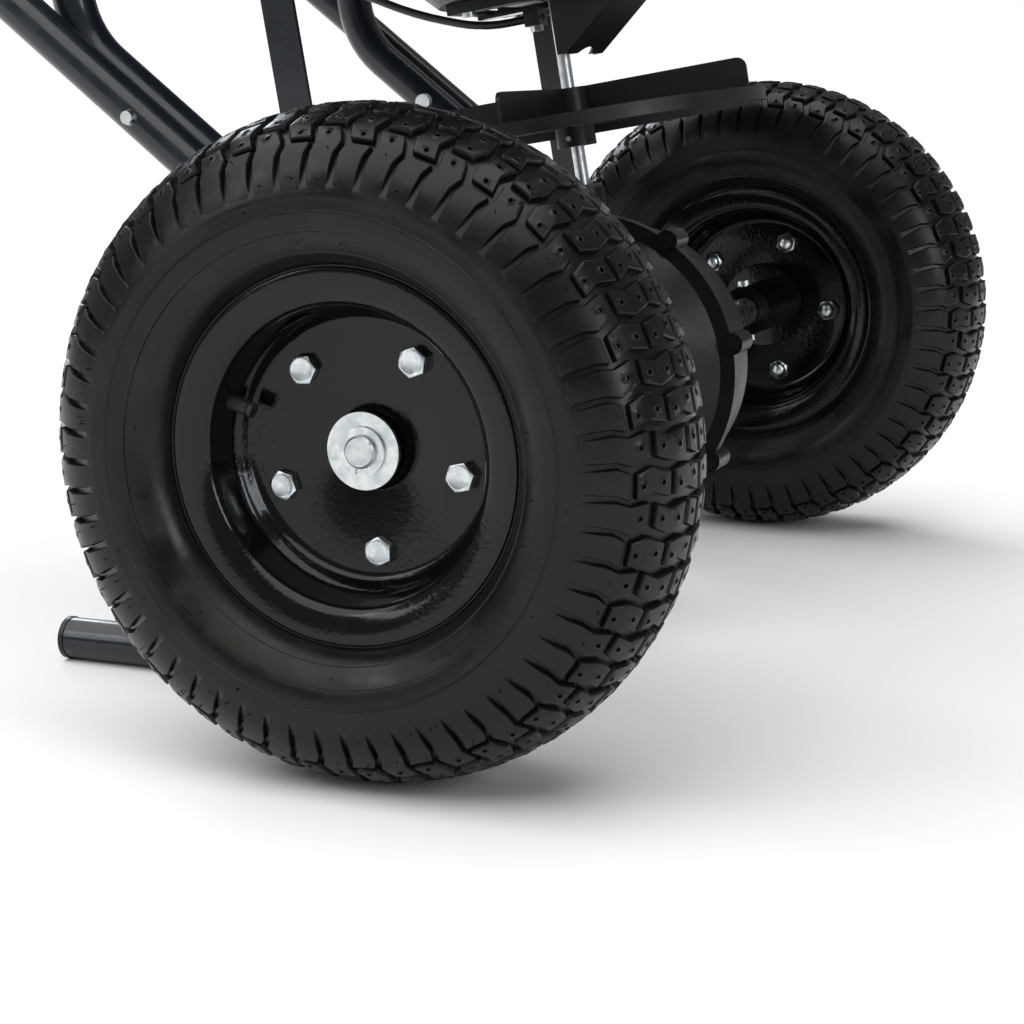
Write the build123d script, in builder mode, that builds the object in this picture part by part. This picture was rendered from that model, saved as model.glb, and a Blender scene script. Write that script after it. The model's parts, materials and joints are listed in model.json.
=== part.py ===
from build123d import *

import os
from math import cos, pi, radians, sin, sqrt, tan

# Push broadcast spreader: two pneumatic wheels on one axle, a gearcase that turns
# an upright impeller shaft, a round hopper, twin side tubes and a U handle.
# Millimetres.  +X is the operator's left, -Y the direction of travel, +Z up.
# The origin is on the ground, below the middle of the whole machine.

# ---------------------------------------------------------------- driving dimensions
wheel_radius = 165.0
half_track = 333.0
tyre_half_width = 53.6
bead_seat_radius = 76.2
flange_radius = 90.0
rim_half_width = 36.0
rim_split = 1.0
rim_sheet = 2.6
disc_edge_radius = 64.5
bolt_circle_radius = 50.0
bolt_count = 5
right_bolt_angle = 60.5
left_bolt_angle = 70.1
hub_radius = 18.0
hub_outboard = 7.0
hub_inboard = 49.0
hub_flange_radius = 30.0
hub_flange_sheet = 3.0
axle_radius = 8.0
axle_half_length = 349.0
drive_pin_inboard = 42.0
drive_pin_radius = 3.0
bush_flange_sheet = 2.0
bush_body = 12.0

lean = 10.1
tube_angle = 37.66
tube_radius = 12.0
tube_bore = 10.5
outer_tube_x = 206.2
inner_tube_x = 178.8
side_plate_x = 192.5
side_plate_sheet = 3.0
tube_line_drop = 4.1
foot_bend_radius = 105.5
foot_end = 264.0
foot_slope = 0.6
cap_radius = 12.5
side_tube_top = 660.0
post_back = 220.0
post_bend_radius = 60.0

crown_teeth = 40
pinion_teeth = 10
shaft_radius = 4.0
impeller_radius = 117.0
impeller_top = 149.0
hopper_floor = 226.0
hopper_floor_radius = 70.0
hopper_knee_radius = 229.0
hopper_wall_radius = 262.0
hopper_top = 560.0
hopper_sheet = 3.0
rim_half_sheet = 1.5
rim_roll_radius = 5.0
rim_roll_circle = 288.0
rim_roll_level = hopper_top + rim_half_sheet - rim_roll_radius
hoop_circle = 210.0
hoop_radius = 6.0

handle_radius = 10.4
handle_overlap = 80.0
handle_knee = 1241.0
handle_back = 1090.0
handle_height = 965.0
handle_corner = 60.0
grip_radius = 16.0
wire_across = 7.5
wire_level = 213.0
cable_radius = 2.5

press_gap = 0.05
slip_gap = 0.1
clear = 0.3

# ---------------------------------------------------------------- directions and planes
bush_bore = axle_radius + press_gap
sin_lean = sin(radians(lean))
cos_lean = cos(radians(lean))
sin_tube = sin(radians(tube_angle))
cos_tube = cos(radians(tube_angle))
front_reach = rim_roll_circle * cos_lean + rim_roll_radius - rim_roll_level * sin_lean
rear_reach = handle_back + grip_radius
axle_y = (front_reach - rear_reach) / 2
axle_centre = (0, axle_y, wheel_radius)
axle_axis = Axis(axle_centre, (1, 0, 0))
lean_up = Vector(0, sin_lean, cos_lean)
lean_back = Vector(0, cos_lean, -sin_lean)
shaft_axis = Axis(axle_centre, (0, sin_lean, cos_lean))


def level(height):
    """Plane square to the impeller shaft; local x is across, local y rearward."""
    return Plane(origin=axle_centre, x_dir=(1, 0, 0), z_dir=lean_up).offset(height)


def lean_side(x):
    """Upright plane at x; local x is rearward and local y up along the shaft."""
    return Plane(origin=(x, axle_y, wheel_radius), x_dir=lean_back, z_dir=(1, 0, 0))


def tube_side(x):
    """Upright plane at x; local x runs up the side tubes, local y is square to them."""
    foot = (x, axle_y + tube_line_drop * sin_tube, wheel_radius - tube_line_drop * cos_tube)
    return Plane(origin=foot, x_dir=(0, cos_tube, sin_tube), z_dir=(1, 0, 0))


def ground_side(x):
    """Upright plane at x; local x is rearward of the axle and local y is height."""
    return Plane(origin=(x, axle_y, 0), x_dir=(0, 1, 0), z_dir=(1, 0, 0))


def axle_section(x, outboard):
    """Half section through the axle; local x is outboard of x, local y is radius."""
    return Plane(origin=(x, axle_y, wheel_radius), x_dir=(outboard, 0, 0), z_dir=(0, -outboard, 0))


def axle_face(x, outboard):
    """Plane across the axle at x, facing outboard; local x points to the front."""
    return Plane(origin=(x, axle_y, wheel_radius), x_dir=(0, -1, 0), z_dir=(outboard, 0, 0))


def lean_cross(x):
    """Plane at x on the axle, square to the impeller shaft: for pins across the axle."""
    return Plane(origin=(x, axle_y, wheel_radius), x_dir=(1, 0, 0), z_dir=lean_up)


def wire_section(back):
    """Plane across the control wire at a place rearward, facing rearward."""
    place = level(wire_level).from_local_coords((wire_across, back, 0))
    return Plane(origin=place, x_dir=(1, 0, 0), z_dir=lean_back)


def from_lean(back, up):
    """Rearward and height, measured from the axle's ground point, of a leaning point."""
    return (back * cos_lean + up * sin_lean, wheel_radius - back * sin_lean + up * cos_lean)


def tube_to_ground(along, rise):
    """Rearward and height of a point given along and square to the side tubes."""
    square = rise - tube_line_drop
    return (along * cos_tube - square * sin_tube, wheel_radius + along * sin_tube + square * cos_tube)


def tube_line_level(back):
    """Height up the shaft of the side tubes' centre line, at a place rearward."""
    steep = radians(tube_angle + lean)
    return back * tan(steep) - tube_line_drop / cos(steep)


def save(piece, name):
    piece.label = name
    export_step(piece, f"parts/{name}.step")


os.makedirs("parts", exist_ok=True)

# ---------------------------------------------------------------- wheels
tyre_bead = [
    (rim_half_width - 5.4, bead_seat_radius + 0.9),
    (rim_half_width - 2.7, bead_seat_radius + 3.8),
    (rim_half_width - 2.7, flange_radius + 0.6),
]
sidewall_middle = (50.6, 104.5)
sidewall_widest = (tyre_half_width, 120.0)
shoulder_middle = (44.6, 146.5)
crown_edge = (25.5, 160.0)
tyre_cavity = [(25.0, bead_seat_radius + 0.9), (25.0, 92.0), (45.5, 110.0), (45.5, 132.0), (34.0, 149.5)]
tube_outline = [(24.0, 78.5), (24.0, 92.5), (44.5, 110.5), (44.5, 131.5), (33.4, 148.5)]
tube_wall = 2.0
valve_outboard = 17.0
valve_radius = 3.9
valve_tip = 58.0
valve_root = 80.4
valve_bore = 1.2
right_valve_angle = 163.0
left_valve_angle = 20.0


def flipped(points):
    return [(-x, y) for x, y in reversed(points)]


def mirrored(points):
    return points + flipped(points)


def valve_plane(x, outboard, angle):
    """Plane square to the valve stem, at the axle; its normal points along the stem."""
    turn = radians(angle)
    stem = (0, -cos(turn), sin(turn))
    return Plane(origin=(x + outboard * valve_outboard, axle_y, wheel_radius), x_dir=(1, 0, 0), z_dir=stem)


def make_tyre(side, x):
    with BuildPart() as tyre:
        with BuildSketch(axle_section(x, 1)):
            with BuildLine():
                for turned in (list, flipped):
                    Polyline(*turned(tyre_bead))
                    ThreePointArc(*turned([tyre_bead[-1], sidewall_middle, sidewall_widest]))
                    ThreePointArc(*turned([sidewall_widest, shoulder_middle, crown_edge]))
                ThreePointArc(crown_edge, (0, wheel_radius), *flipped([crown_edge]))
                Line(*mirrored(tyre_bead[:1]))
            make_face()
            with BuildLine():
                Polyline(*mirrored(tyre_cavity), close=True)
            make_face(mode=Mode.SUBTRACT)
        revolve(axis=axle_axis)
    save(tyre.part, f"{side}_tyre")


def make_inner_tube(side, x, outboard, valve_angle):
    """Butyl tube with its valve stem bonded on, open to the air through the stem's bore."""
    tip_plane = valve_plane(x, outboard, valve_angle).offset(valve_tip)
    with BuildPart() as inner_tube:
        with BuildSketch(axle_section(x, 1)) as section:
            with BuildLine():
                Polyline(*mirrored(tube_outline), close=True)
            make_face()
            fillet(section.vertices(), radius=5)
            offset(amount=-tube_wall, mode=Mode.SUBTRACT)
        revolve(axis=axle_axis)
        with BuildSketch(tip_plane):
            Circle(valve_radius)
        extrude(amount=valve_root - valve_tip)
        with BuildSketch(tip_plane.offset(2.0)):
            Circle(valve_radius + 1)
            Circle(valve_radius - 0.7, mode=Mode.SUBTRACT)
        extrude(amount=1.2, mode=Mode.SUBTRACT)
        with BuildSketch(tip_plane.offset(-1.0)):
            Circle(valve_bore)
        extrude(amount=valve_root - valve_tip + 4, mode=Mode.SUBTRACT)
    save(inner_tube.part, f"{side}_inner_tube")


def make_rim_half(side, half, x, outboard, direction, bolt_angle, valve_angle):
    """Pressed half rim: bolted disc, barrel, bead seat and flange."""
    depth = rim_half_width - direction * rim_split
    outline = [
        (0, hub_radius + clear),
        (rim_sheet, hub_radius + clear),
        (rim_sheet, disc_edge_radius),
        (8.0, 70.5),
        (depth - 4.0, bead_seat_radius - 2.6),
        (depth, bead_seat_radius + 1.5),
        (depth, flange_radius),
        (depth - 2.4, flange_radius),
        (depth - 2.4, bead_seat_radius + 2.5),
        (depth - 4.8, bead_seat_radius),
        (6.0, 73.0),
        (0, disc_edge_radius + 2.6),
    ]
    split_x = x + outboard * rim_split
    bolt_start = -outboard * direction * bolt_angle
    with BuildPart() as rim_half:
        with BuildSketch(axle_section(split_x, outboard * direction)) as section:
            with BuildLine():
                Polyline(*outline, close=True)
            make_face()
            fillet(section.vertices().filter_by_position(Axis.Y, 70, 74), radius=3)
        revolve(axis=axle_axis)
        with BuildSketch(axle_face(split_x, outboard * direction)):
            with PolarLocations(bolt_circle_radius, bolt_count, start_angle=bolt_start):
                Circle(4.0 + 2 * slip_gap)
        extrude(amount=rim_sheet, mode=Mode.SUBTRACT)
        if direction > 0:
            with BuildSketch(valve_plane(x, outboard, valve_angle).offset(valve_tip)):
                Circle(valve_radius + clear)
            extrude(amount=valve_root - valve_tip, mode=Mode.SUBTRACT)
    save(rim_half.part, f"{side}_rim_{half}")


def make_hub(side, x, outboard, bore, pinned):
    """Hub tube with a flange on the inboard face of the inner rim disc."""
    flange_seat = rim_split - rim_sheet
    nose = hub_outboard + (bush_flange_sheet if pinned else 0)
    outline = [
        (-hub_inboard, bore),
        (nose, bore),
        (nose, hub_radius),
        (flange_seat, hub_radius),
        (flange_seat, hub_flange_radius),
        (flange_seat - hub_flange_sheet, hub_flange_radius),
        (flange_seat - hub_flange_sheet, hub_radius),
        (-hub_inboard, hub_radius),
    ]
    with BuildPart() as hub:
        with BuildSketch(axle_section(x, outboard)):
            with BuildLine():
                Polyline(*outline, close=True)
            make_face()
        revolve(axis=axle_axis)
        if pinned:
            pin_x = x - outboard * drive_pin_inboard
            with BuildSketch(lean_cross(pin_x)):
                Circle(drive_pin_radius + press_gap)
            extrude(amount=2 * hub_radius, both=True, mode=Mode.SUBTRACT)
    save(hub.part, f"{side}_hub")


def make_wheel_bolts(side, x, outboard, bolt_angle):
    """Hexagon bolts through both rim discs, heads outboard."""
    with BuildPart() as wheel_bolts:
        start = -outboard * bolt_angle
        with BuildSketch(axle_face(x + outboard * (rim_split + rim_sheet), outboard)):
            with PolarLocations(bolt_circle_radius, bolt_count, start_angle=start):
                RegularPolygon(radius=6.5, side_count=6, major_radius=False)
        extrude(amount=5.3)
        shank_end = rim_split - rim_sheet - 5.9
        with BuildSketch(axle_face(x + outboard * shank_end, outboard)):
            with PolarLocations(bolt_circle_radius, bolt_count, start_angle=start):
                Circle(4.0)
        extrude(amount=rim_split + rim_sheet + 1.0 - shank_end)
    save(wheel_bolts.part, f"{side}_wheel_bolts")


def make_wheel_nuts(side, x, outboard, bolt_angle):
    """Dome nuts on the inboard face of the rim."""
    seat = axle_face(x + outboard * (rim_split - rim_sheet), -outboard)
    with BuildPart() as wheel_nuts:
        start = outboard * bolt_angle
        with BuildSketch(seat):
            with PolarLocations(bolt_circle_radius, bolt_count, start_angle=start):
                RegularPolygon(radius=6.5, side_count=6, major_radius=False)
        extrude(amount=5.0)
        with BuildSketch(seat.offset(5.0)):
            with PolarLocations(bolt_circle_radius, bolt_count, start_angle=start):
                Circle(5.9)
        extrude(amount=3.0, taper=30)
        with BuildSketch(seat):
            with PolarLocations(bolt_circle_radius, bolt_count, start_angle=start):
                Circle(4.0 + press_gap)
        extrude(amount=6.2, mode=Mode.SUBTRACT)
    save(wheel_nuts.part, f"{side}_wheel_nuts")


wheels = [
    ("right", -half_track, -1, right_bolt_angle, right_valve_angle, bush_body + slip_gap, False),
    ("left", half_track, 1, left_bolt_angle, left_valve_angle, axle_radius + press_gap, True),
]
for side, x, outboard, bolt_angle, valve_angle, hub_bore, pinned in wheels:
    make_tyre(side, x)
    make_inner_tube(side, x, outboard, valve_angle)
    make_rim_half(side, "outer", x, outboard, 1, bolt_angle, valve_angle)
    make_rim_half(side, "inner", x, outboard, -1, bolt_angle, valve_angle)
    make_hub(side, x, outboard, hub_bore, pinned)
    make_wheel_bolts(side, x, outboard, bolt_angle)
    make_wheel_nuts(side, x, outboard, bolt_angle)

# flanged bushes that let the right wheel turn on the axle
bush_flange = 16.0
bush_length = 18.0
bush_section = [
    (0, bush_bore),
    (bush_flange_sheet, bush_bore),
    (bush_flange_sheet, bush_flange),
    (0, bush_flange),
    (0, bush_body),
    (-bush_length, bush_body),
    (-bush_length, bush_bore),
]
with BuildPart() as right_wheel_bushes:
    for place, facing in [(half_track + hub_outboard, -1), (half_track - hub_inboard, 1)]:
        with BuildSketch(axle_section(-place, facing)):
            with BuildLine():
                Polyline(*bush_section, close=True)
            make_face()
        revolve(axis=axle_axis)
save(right_wheel_bushes.part, "right_wheel_bushes")

# ---------------------------------------------------------------- axle and its fittings
washer_inner = half_track + hub_outboard + bush_flange_sheet + slip_gap
washer_sheet = 2.2
clip_inner = washer_inner + washer_sheet + slip_gap
clip_sheet = 1.5
groove_radius = axle_radius - 0.9
gear_pin_x = -34.0
gear_pin_radius = 2.5
drive_pin_x = half_track - drive_pin_inboard
axle_pins = [(drive_pin_x, drive_pin_radius), (gear_pin_x, gear_pin_radius)]
with BuildPart() as axle:
    with BuildSketch(axle_face(-axle_half_length, 1)):
        Circle(axle_radius)
    extrude(amount=2 * axle_half_length)
    chamfer(axle.edges().filter_by(GeomType.CIRCLE), length=1.0)
    for facing in (-1, 1):
        with BuildSketch(axle_face(facing * clip_inner, facing)):
            Circle(axle_radius + 1)
            Circle(groove_radius, mode=Mode.SUBTRACT)
        extrude(amount=clip_sheet + slip_gap, mode=Mode.SUBTRACT)
    for pin_x, pin_radius in axle_pins:
        with BuildSketch(lean_cross(pin_x)):
            Circle(pin_radius + press_gap)
        extrude(amount=2 * axle_radius, both=True, mode=Mode.SUBTRACT)
save(axle.part, "axle")

with BuildPart() as hub_washers:
    for facing in (-1, 1):
        with BuildSketch(axle_face(facing * washer_inner, facing)):
            Circle(19.0)
            Circle(axle_radius + clear, mode=Mode.SUBTRACT)
        extrude(amount=washer_sheet)
save(hub_washers.part, "hub_washers")

with BuildPart() as axle_clips:
    for facing in (-1, 1):
        with BuildSketch(axle_face(facing * clip_inner, facing)):
            Circle(12.0)
            Circle(groove_radius + press_gap, mode=Mode.SUBTRACT)
            with Locations((0, -10)):
                Rectangle(7, 12, mode=Mode.SUBTRACT)
        extrude(amount=clip_sheet)
save(axle_clips.part, "axle_clips")

with BuildPart() as drive_pin:
    with BuildSketch(lean_cross(drive_pin_x)):
        Circle(drive_pin_radius)
    extrude(amount=hub_radius + 4, both=True)
    with BuildSketch(lean_cross(drive_pin_x).offset(hub_radius + 0.5)):
        Circle(5.5)
    extrude(amount=3.5)
save(drive_pin.part, "drive_pin")

frame_bush_inner = side_plate_x - side_plate_sheet / 2 - 3.5
frame_bush_outer = 204.0
spacer_inner = frame_bush_outer + 0.5
spacer_outer = half_track - hub_inboard - bush_flange_sheet - 0.5
with BuildPart() as axle_spacers:
    for facing in (-1, 1):
        with BuildSketch(axle_face(facing * spacer_inner, facing)):
            Circle(10.0)
            Circle(axle_radius + slip_gap, mode=Mode.SUBTRACT)
        extrude(amount=spacer_outer - spacer_inner)
save(axle_spacers.part, "axle_spacers")

gearcase_near = -64.0
gearcase_far = 28.0
gearcase_bush_flange = 2.0
collar_width = 8.0
collar_places = [
    (-(frame_bush_inner - clear), 1),
    (frame_bush_inner - clear, -1),
    (gearcase_near - gearcase_bush_flange - clear, -1),
    (gearcase_far + gearcase_bush_flange + clear, 1),
]
with BuildPart() as axle_collars:
    for place, facing in collar_places:
        with BuildSketch(axle_face(place, facing)):
            Circle(13.0)
            Circle(axle_radius + press_gap, mode=Mode.SUBTRACT)
        extrude(amount=collar_width)
save(axle_collars.part, "axle_collars")

# ---------------------------------------------------------------- gearcase and gears
case_radius = 84.0
case_flange_radius = 93.0
case_wall = 3.0
case_split = -40.0
flange_sheet = 4.0
boss_radius = 6.5
boss_circle = 93.0
boss_count = 8
boss_angle = 22.5
case_bore = 11.0
cover_outline = [
    (case_split, case_flange_radius),
    (case_split, case_radius - case_wall),
    (case_split - 3, case_radius - case_wall),
    (case_split - 15, 64.0),
    (case_split - 15, case_bore),
    (gearcase_near, case_bore),
    (gearcase_near, 18.0),
    (case_split - 18, 18.0),
    (case_split - 18, 66.0),
    (case_split - flange_sheet, case_radius),
    (case_split - flange_sheet, case_flange_radius),
]


def boss_pattern(seen_from):
    """Places of the case screws: 1 seen from the cover's side, -1 from the other."""
    return PolarLocations(boss_circle, boss_count, start_angle=seen_from * (90 - lean + boss_angle))


with BuildPart() as gearcase_cover:
    with BuildSketch(axle_section(0, 1)):
        with BuildLine():
            Polyline(*cover_outline, close=True)
        make_face()
    revolve(axis=axle_axis)
    with BuildSketch(axle_face(case_split, -1)):
        with boss_pattern(1):
            Circle(boss_radius)
    extrude(amount=flange_sheet + 1)
    with BuildSketch(axle_face(case_split, -1)):
        with boss_pattern(1):
            Circle(2.0 + slip_gap)
    extrude(amount=2 * flange_sheet, mode=Mode.SUBTRACT)
save(gearcase_cover.part, "gearcase_cover")

case_back = 21.0
tower_radius = 13.0
tower_top = 106.0
tower_floor = 70.0
tower_bore = 8.0
pillar_floor = 28.0
housing_outline = [
    (case_split, case_flange_radius),
    (case_split + flange_sheet, case_flange_radius),
    (case_split + flange_sheet, case_radius),
    (case_back - 10, case_radius),
    (case_back, case_radius - 10),
    (case_back, 18.0),
    (gearcase_far, 18.0),
    (gearcase_far, case_bore),
    (case_back - case_wall, case_bore),
    (case_back - case_wall, case_radius - 12),
    (case_back - 11, case_radius - case_wall),
    (case_split, case_radius - case_wall),
]
with BuildPart() as gearcase_housing:
    with BuildSketch(axle_section(0, 1)):
        with BuildLine():
            Polyline(*housing_outline, close=True)
        make_face()
    revolve(axis=axle_axis)
    with BuildSketch(axle_face(case_split, 1)):
        with boss_pattern(-1):
            Circle(boss_radius)
    extrude(amount=16)
    with BuildSketch(level(tower_floor)):
        Circle(tower_radius)
    extrude(amount=tower_top - tower_floor)
    with BuildSketch(level(pillar_floor)):
        with Locations(((case_back - case_wall - 9) / 2, 0)):
            Rectangle(case_back - case_wall + 9 + 1, 18)
    extrude(amount=10)
    with BuildSketch(level(tower_floor - 1)):
        Circle(tower_bore)
    extrude(amount=tower_top - tower_floor + 2, mode=Mode.SUBTRACT)
    with BuildSketch(level(pillar_floor + 3)):
        Circle(shaft_radius + press_gap)
    extrude(amount=10, mode=Mode.SUBTRACT)
    with BuildSketch(axle_face(case_split, 1)):
        with boss_pattern(-1):
            Circle(2.0 + slip_gap)
    extrude(amount=13, mode=Mode.SUBTRACT)
save(gearcase_housing.part, "gearcase_housing")

with BuildPart() as gearcase_screws:
    with BuildSketch(axle_face(case_split - flange_sheet - 1, -1)):
        with boss_pattern(1):
            Circle(4.2)
    extrude(amount=2.8)
    with BuildSketch(axle_face(case_split - flange_sheet - 2, 1)):
        with boss_pattern(-1):
            Circle(2.0)
    extrude(amount=flange_sheet + 13)
save(gearcase_screws.part, "gearcase_screws")

crown_face = -17.2
crown_tip = -12.0
crown_back = -24.0
tooth_inner = 50.0
tooth_outer = 62.0
with BuildPart() as crown_gear:
    with BuildSketch(axle_face(crown_back, 1)):
        Circle(tooth_outer + 2)
        Circle(axle_radius + press_gap, mode=Mode.SUBTRACT)
    extrude(amount=crown_face - crown_back)
    with BuildSketch(axle_face(crown_back, -1)):
        Circle(15.0)
        Circle(axle_radius + press_gap, mode=Mode.SUBTRACT)
    extrude(amount=14)
    for tooth in range(crown_teeth):
        turn = radians((tooth + 0.5) * 360 / crown_teeth)
        outward = lean_up * cos(turn) - lean_back * sin(turn)
        sideways = lean_back * -cos(turn) - lean_up * sin(turn)
        root = Vector(*axle_centre) + outward * tooth_inner
        with BuildSketch(Plane(origin=root, x_dir=sideways, z_dir=outward)):
            with BuildLine():
                Polyline(
                    (-2.1, crown_face - 0.5),
                    (2.1, crown_face - 0.5),
                    (0.9, crown_tip),
                    (-0.9, crown_tip),
                    close=True,
                )
            make_face()
        extrude(amount=tooth_outer - tooth_inner)
    with BuildSketch(lean_cross(gear_pin_x)):
        Circle(gear_pin_radius + press_gap)
    extrude(amount=20, both=True, mode=Mode.SUBTRACT)
save(crown_gear.part, "crown_gear")

with BuildPart() as crown_gear_pin:
    with BuildSketch(lean_cross(gear_pin_x)):
        Circle(gear_pin_radius)
    extrude(amount=14.5, both=True)
save(crown_gear_pin.part, "crown_gear_pin")

# ---------------------------------------------------------------- impeller shaft
shaft_bottom = pillar_floor + 3.2
shaft_top = 262.0
pinion_root = 10.8
pinion_tip = 16.0
pinion_floor = 50.5
pinion_hub_floor = 43.0
pinion_pin_level = 46.5
impeller_hub_floor = 132.0
impeller_pin_level = 137.0
agitator_level = 246.0
cross_pins = [(pinion_pin_level, 1.5), (impeller_pin_level, 1.5), (agitator_level, 2.5)]
with BuildPart() as impeller_shaft:
    with BuildSketch(level(shaft_bottom)):
        Circle(shaft_radius)
    extrude(amount=shaft_top - shaft_bottom)
    for pin_level, pin_radius in cross_pins:
        with BuildSketch(lean_side(0)):
            with Locations((0, pin_level)):
                Circle(pin_radius + press_gap)
        extrude(amount=2 * shaft_radius, both=True, mode=Mode.SUBTRACT)
save(impeller_shaft.part, "impeller_shaft")

with BuildPart() as pinion:
    with BuildSketch(level(pinion_floor)):
        Circle(pinion_root)
        with PolarLocations(0, pinion_teeth):
            with BuildLine():
                Polyline(
                    (pinion_root - 1, -2.1),
                    (pinion_tip, -0.9),
                    (pinion_tip, 0.9),
                    (pinion_root - 1, 2.1),
                    close=True,
                )
            make_face()
        Circle(shaft_radius + press_gap, mode=Mode.SUBTRACT)
    extrude(amount=11)
    with BuildSketch(level(pinion_hub_floor)):
        Circle(8.0)
        Circle(shaft_radius + press_gap, mode=Mode.SUBTRACT)
    extrude(amount=pinion_floor - pinion_hub_floor)
    with BuildSketch(lean_side(0)):
        with Locations((0, pinion_pin_level)):
            Circle(1.5 + press_gap)
    extrude(amount=20, both=True, mode=Mode.SUBTRACT)
save(pinion.part, "pinion")

with BuildPart() as shaft_pins:
    for pin_level, reach in [(pinion_pin_level, 7.6), (impeller_pin_level, 13.0)]:
        with BuildSketch(lean_side(0)):
            with Locations((0, pin_level)):
                Circle(1.5)
        extrude(amount=reach, both=True)
save(shaft_pins.part, "shaft_pins")

fin_top = 167.0
fin_reach = 112.5
fin_sheet = 2.4
impeller_sheet = 2.6
skirt_height = 8.0
with BuildPart() as impeller:
    with BuildSketch(level(impeller_top - impeller_sheet)):
        Circle(impeller_radius)
    extrude(amount=impeller_sheet)
    with BuildSketch(level(impeller_top - skirt_height)):
        Circle(impeller_radius)
        Circle(impeller_radius - impeller_sheet, mode=Mode.SUBTRACT)
    extrude(amount=skirt_height)
    with BuildSketch(level(impeller_hub_floor)):
        Circle(12.0)
    extrude(amount=fin_top - impeller_hub_floor)
    for quarter in range(4):
        across = Vector(cos(radians(90 * quarter)), 0, 0) + lean_back * sin(radians(90 * quarter))
        fin_plane = Plane(origin=axle_centre, x_dir=across, z_dir=across.cross(lean_up))
        with BuildSketch(fin_plane) as fin:
            with BuildLine():
                Polyline(
                    (8.0, impeller_top - 1),
                    (fin_reach, impeller_top - 1),
                    (fin_reach, fin_top),
                    (8.0, fin_top),
                    close=True,
                )
            make_face()
            fillet(fin.vertices().group_by(Axis.Z)[-1].sort_by_distance(axle_centre)[-1], radius=6)
        extrude(amount=fin_sheet / 2, both=True)
    with BuildSketch(level(impeller_hub_floor)):
        Circle(shaft_radius + press_gap)
    extrude(amount=fin_top - impeller_hub_floor, mode=Mode.SUBTRACT)
    with BuildSketch(lean_side(0)):
        with Locations((0, impeller_pin_level)):
            Circle(1.5 + press_gap)
    extrude(amount=20, both=True, mode=Mode.SUBTRACT)
save(impeller.part, "impeller")

with BuildPart() as agitator:
    with BuildSketch(lean_side(0)):
        with Locations((0, agitator_level)):
            Circle(2.5)
    extrude(amount=52, both=True)
save(agitator.part, "agitator")

floor_sheet = 4.0
tower_bush_floor = 72.0
floor_bush_radius = 6.0
shaft_bush_sizes = [
    (tower_bush_floor, tower_top, tower_bore - press_gap, 11.5),
    (hopper_floor, hopper_floor + floor_sheet, floor_bush_radius, 11.0),
]
with BuildPart() as shaft_bushes:
    for bush_floor, bush_seat, bush_outside, bush_rim in shaft_bush_sizes:
        with BuildSketch(level(bush_floor)):
            Circle(bush_outside)
            Circle(shaft_radius + press_gap, mode=Mode.SUBTRACT)
        extrude(amount=bush_seat - bush_floor)
        with BuildSketch(level(bush_seat)):
            Circle(bush_rim)
            Circle(shaft_radius + press_gap, mode=Mode.SUBTRACT)
        extrude(amount=2.5)
save(shaft_bushes.part, "shaft_bushes")

# ---------------------------------------------------------------- hopper
knee_level = hopper_floor + hopper_knee_radius - hopper_floor_radius
hopper_outline = [
    (0, hopper_floor),
    (hopper_floor_radius, hopper_floor),
    (hopper_knee_radius, knee_level),
    (hopper_wall_radius, hopper_top - rim_half_sheet),
    (rim_roll_circle, hopper_top - rim_half_sheet),
    (rim_roll_circle, hopper_top + rim_half_sheet),
    (hopper_wall_radius - hopper_sheet, hopper_top + rim_half_sheet),
    (hopper_knee_radius - 2.6, knee_level + 1.6),
    (hopper_floor_radius - 1.8, hopper_floor + floor_sheet),
    (0, hopper_floor + floor_sheet),
]
outlet_inner = 9.0
outlet_outer = 27.0
outlet_front = -44.0
outlet_rear = -14.0
guide_screw_across = 39.5
guide_screw_front = -48.0
guide_screw_rear = 40.0
guide_corners = [
    (-guide_screw_across, guide_screw_front),
    (guide_screw_across, guide_screw_front),
    (-guide_screw_across, guide_screw_rear),
    (guide_screw_across, guide_screw_rear),
]
post_screw_circle = 277.0
post_radial = sqrt(inner_tube_x**2 + post_back**2)
post_screw_x = inner_tube_x * post_screw_circle / post_radial
post_screw_back = post_back * post_screw_circle / post_radial
post_screw_places = [(-post_screw_x, post_screw_back), (post_screw_x, post_screw_back)]
post_screw_radius = 2.5
shaft_section = Plane(origin=axle_centre, x_dir=(1, 0, 0), z_dir=-lean_back)
with BuildPart() as hopper:
    with BuildSketch(shaft_section) as section:
        with BuildLine():
            Polyline(*hopper_outline, close=True)
        make_face()
    revolve(axis=shaft_axis)
    with BuildSketch(shaft_section):
        with Locations((rim_roll_circle, rim_roll_level)):
            Circle(rim_roll_radius)
    revolve(axis=shaft_axis)
    with BuildSketch(level(hopper_floor)):
        Circle(floor_bush_radius + press_gap)
        for across in (-1, 1):
            with Locations((across * (outlet_inner + outlet_outer) / 2, (outlet_front + outlet_rear) / 2)):
                RectangleRounded(outlet_outer - outlet_inner, outlet_rear - outlet_front, 4)
        with Locations(*guide_corners):
            Circle(2.0 + press_gap)
    extrude(amount=floor_sheet, mode=Mode.SUBTRACT)
    with BuildSketch(level(hopper_top - 5)):
        with Locations(*post_screw_places):
            Circle(post_screw_radius + slip_gap)
    extrude(amount=10, mode=Mode.SUBTRACT)
save(hopper.part, "hopper")

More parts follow.
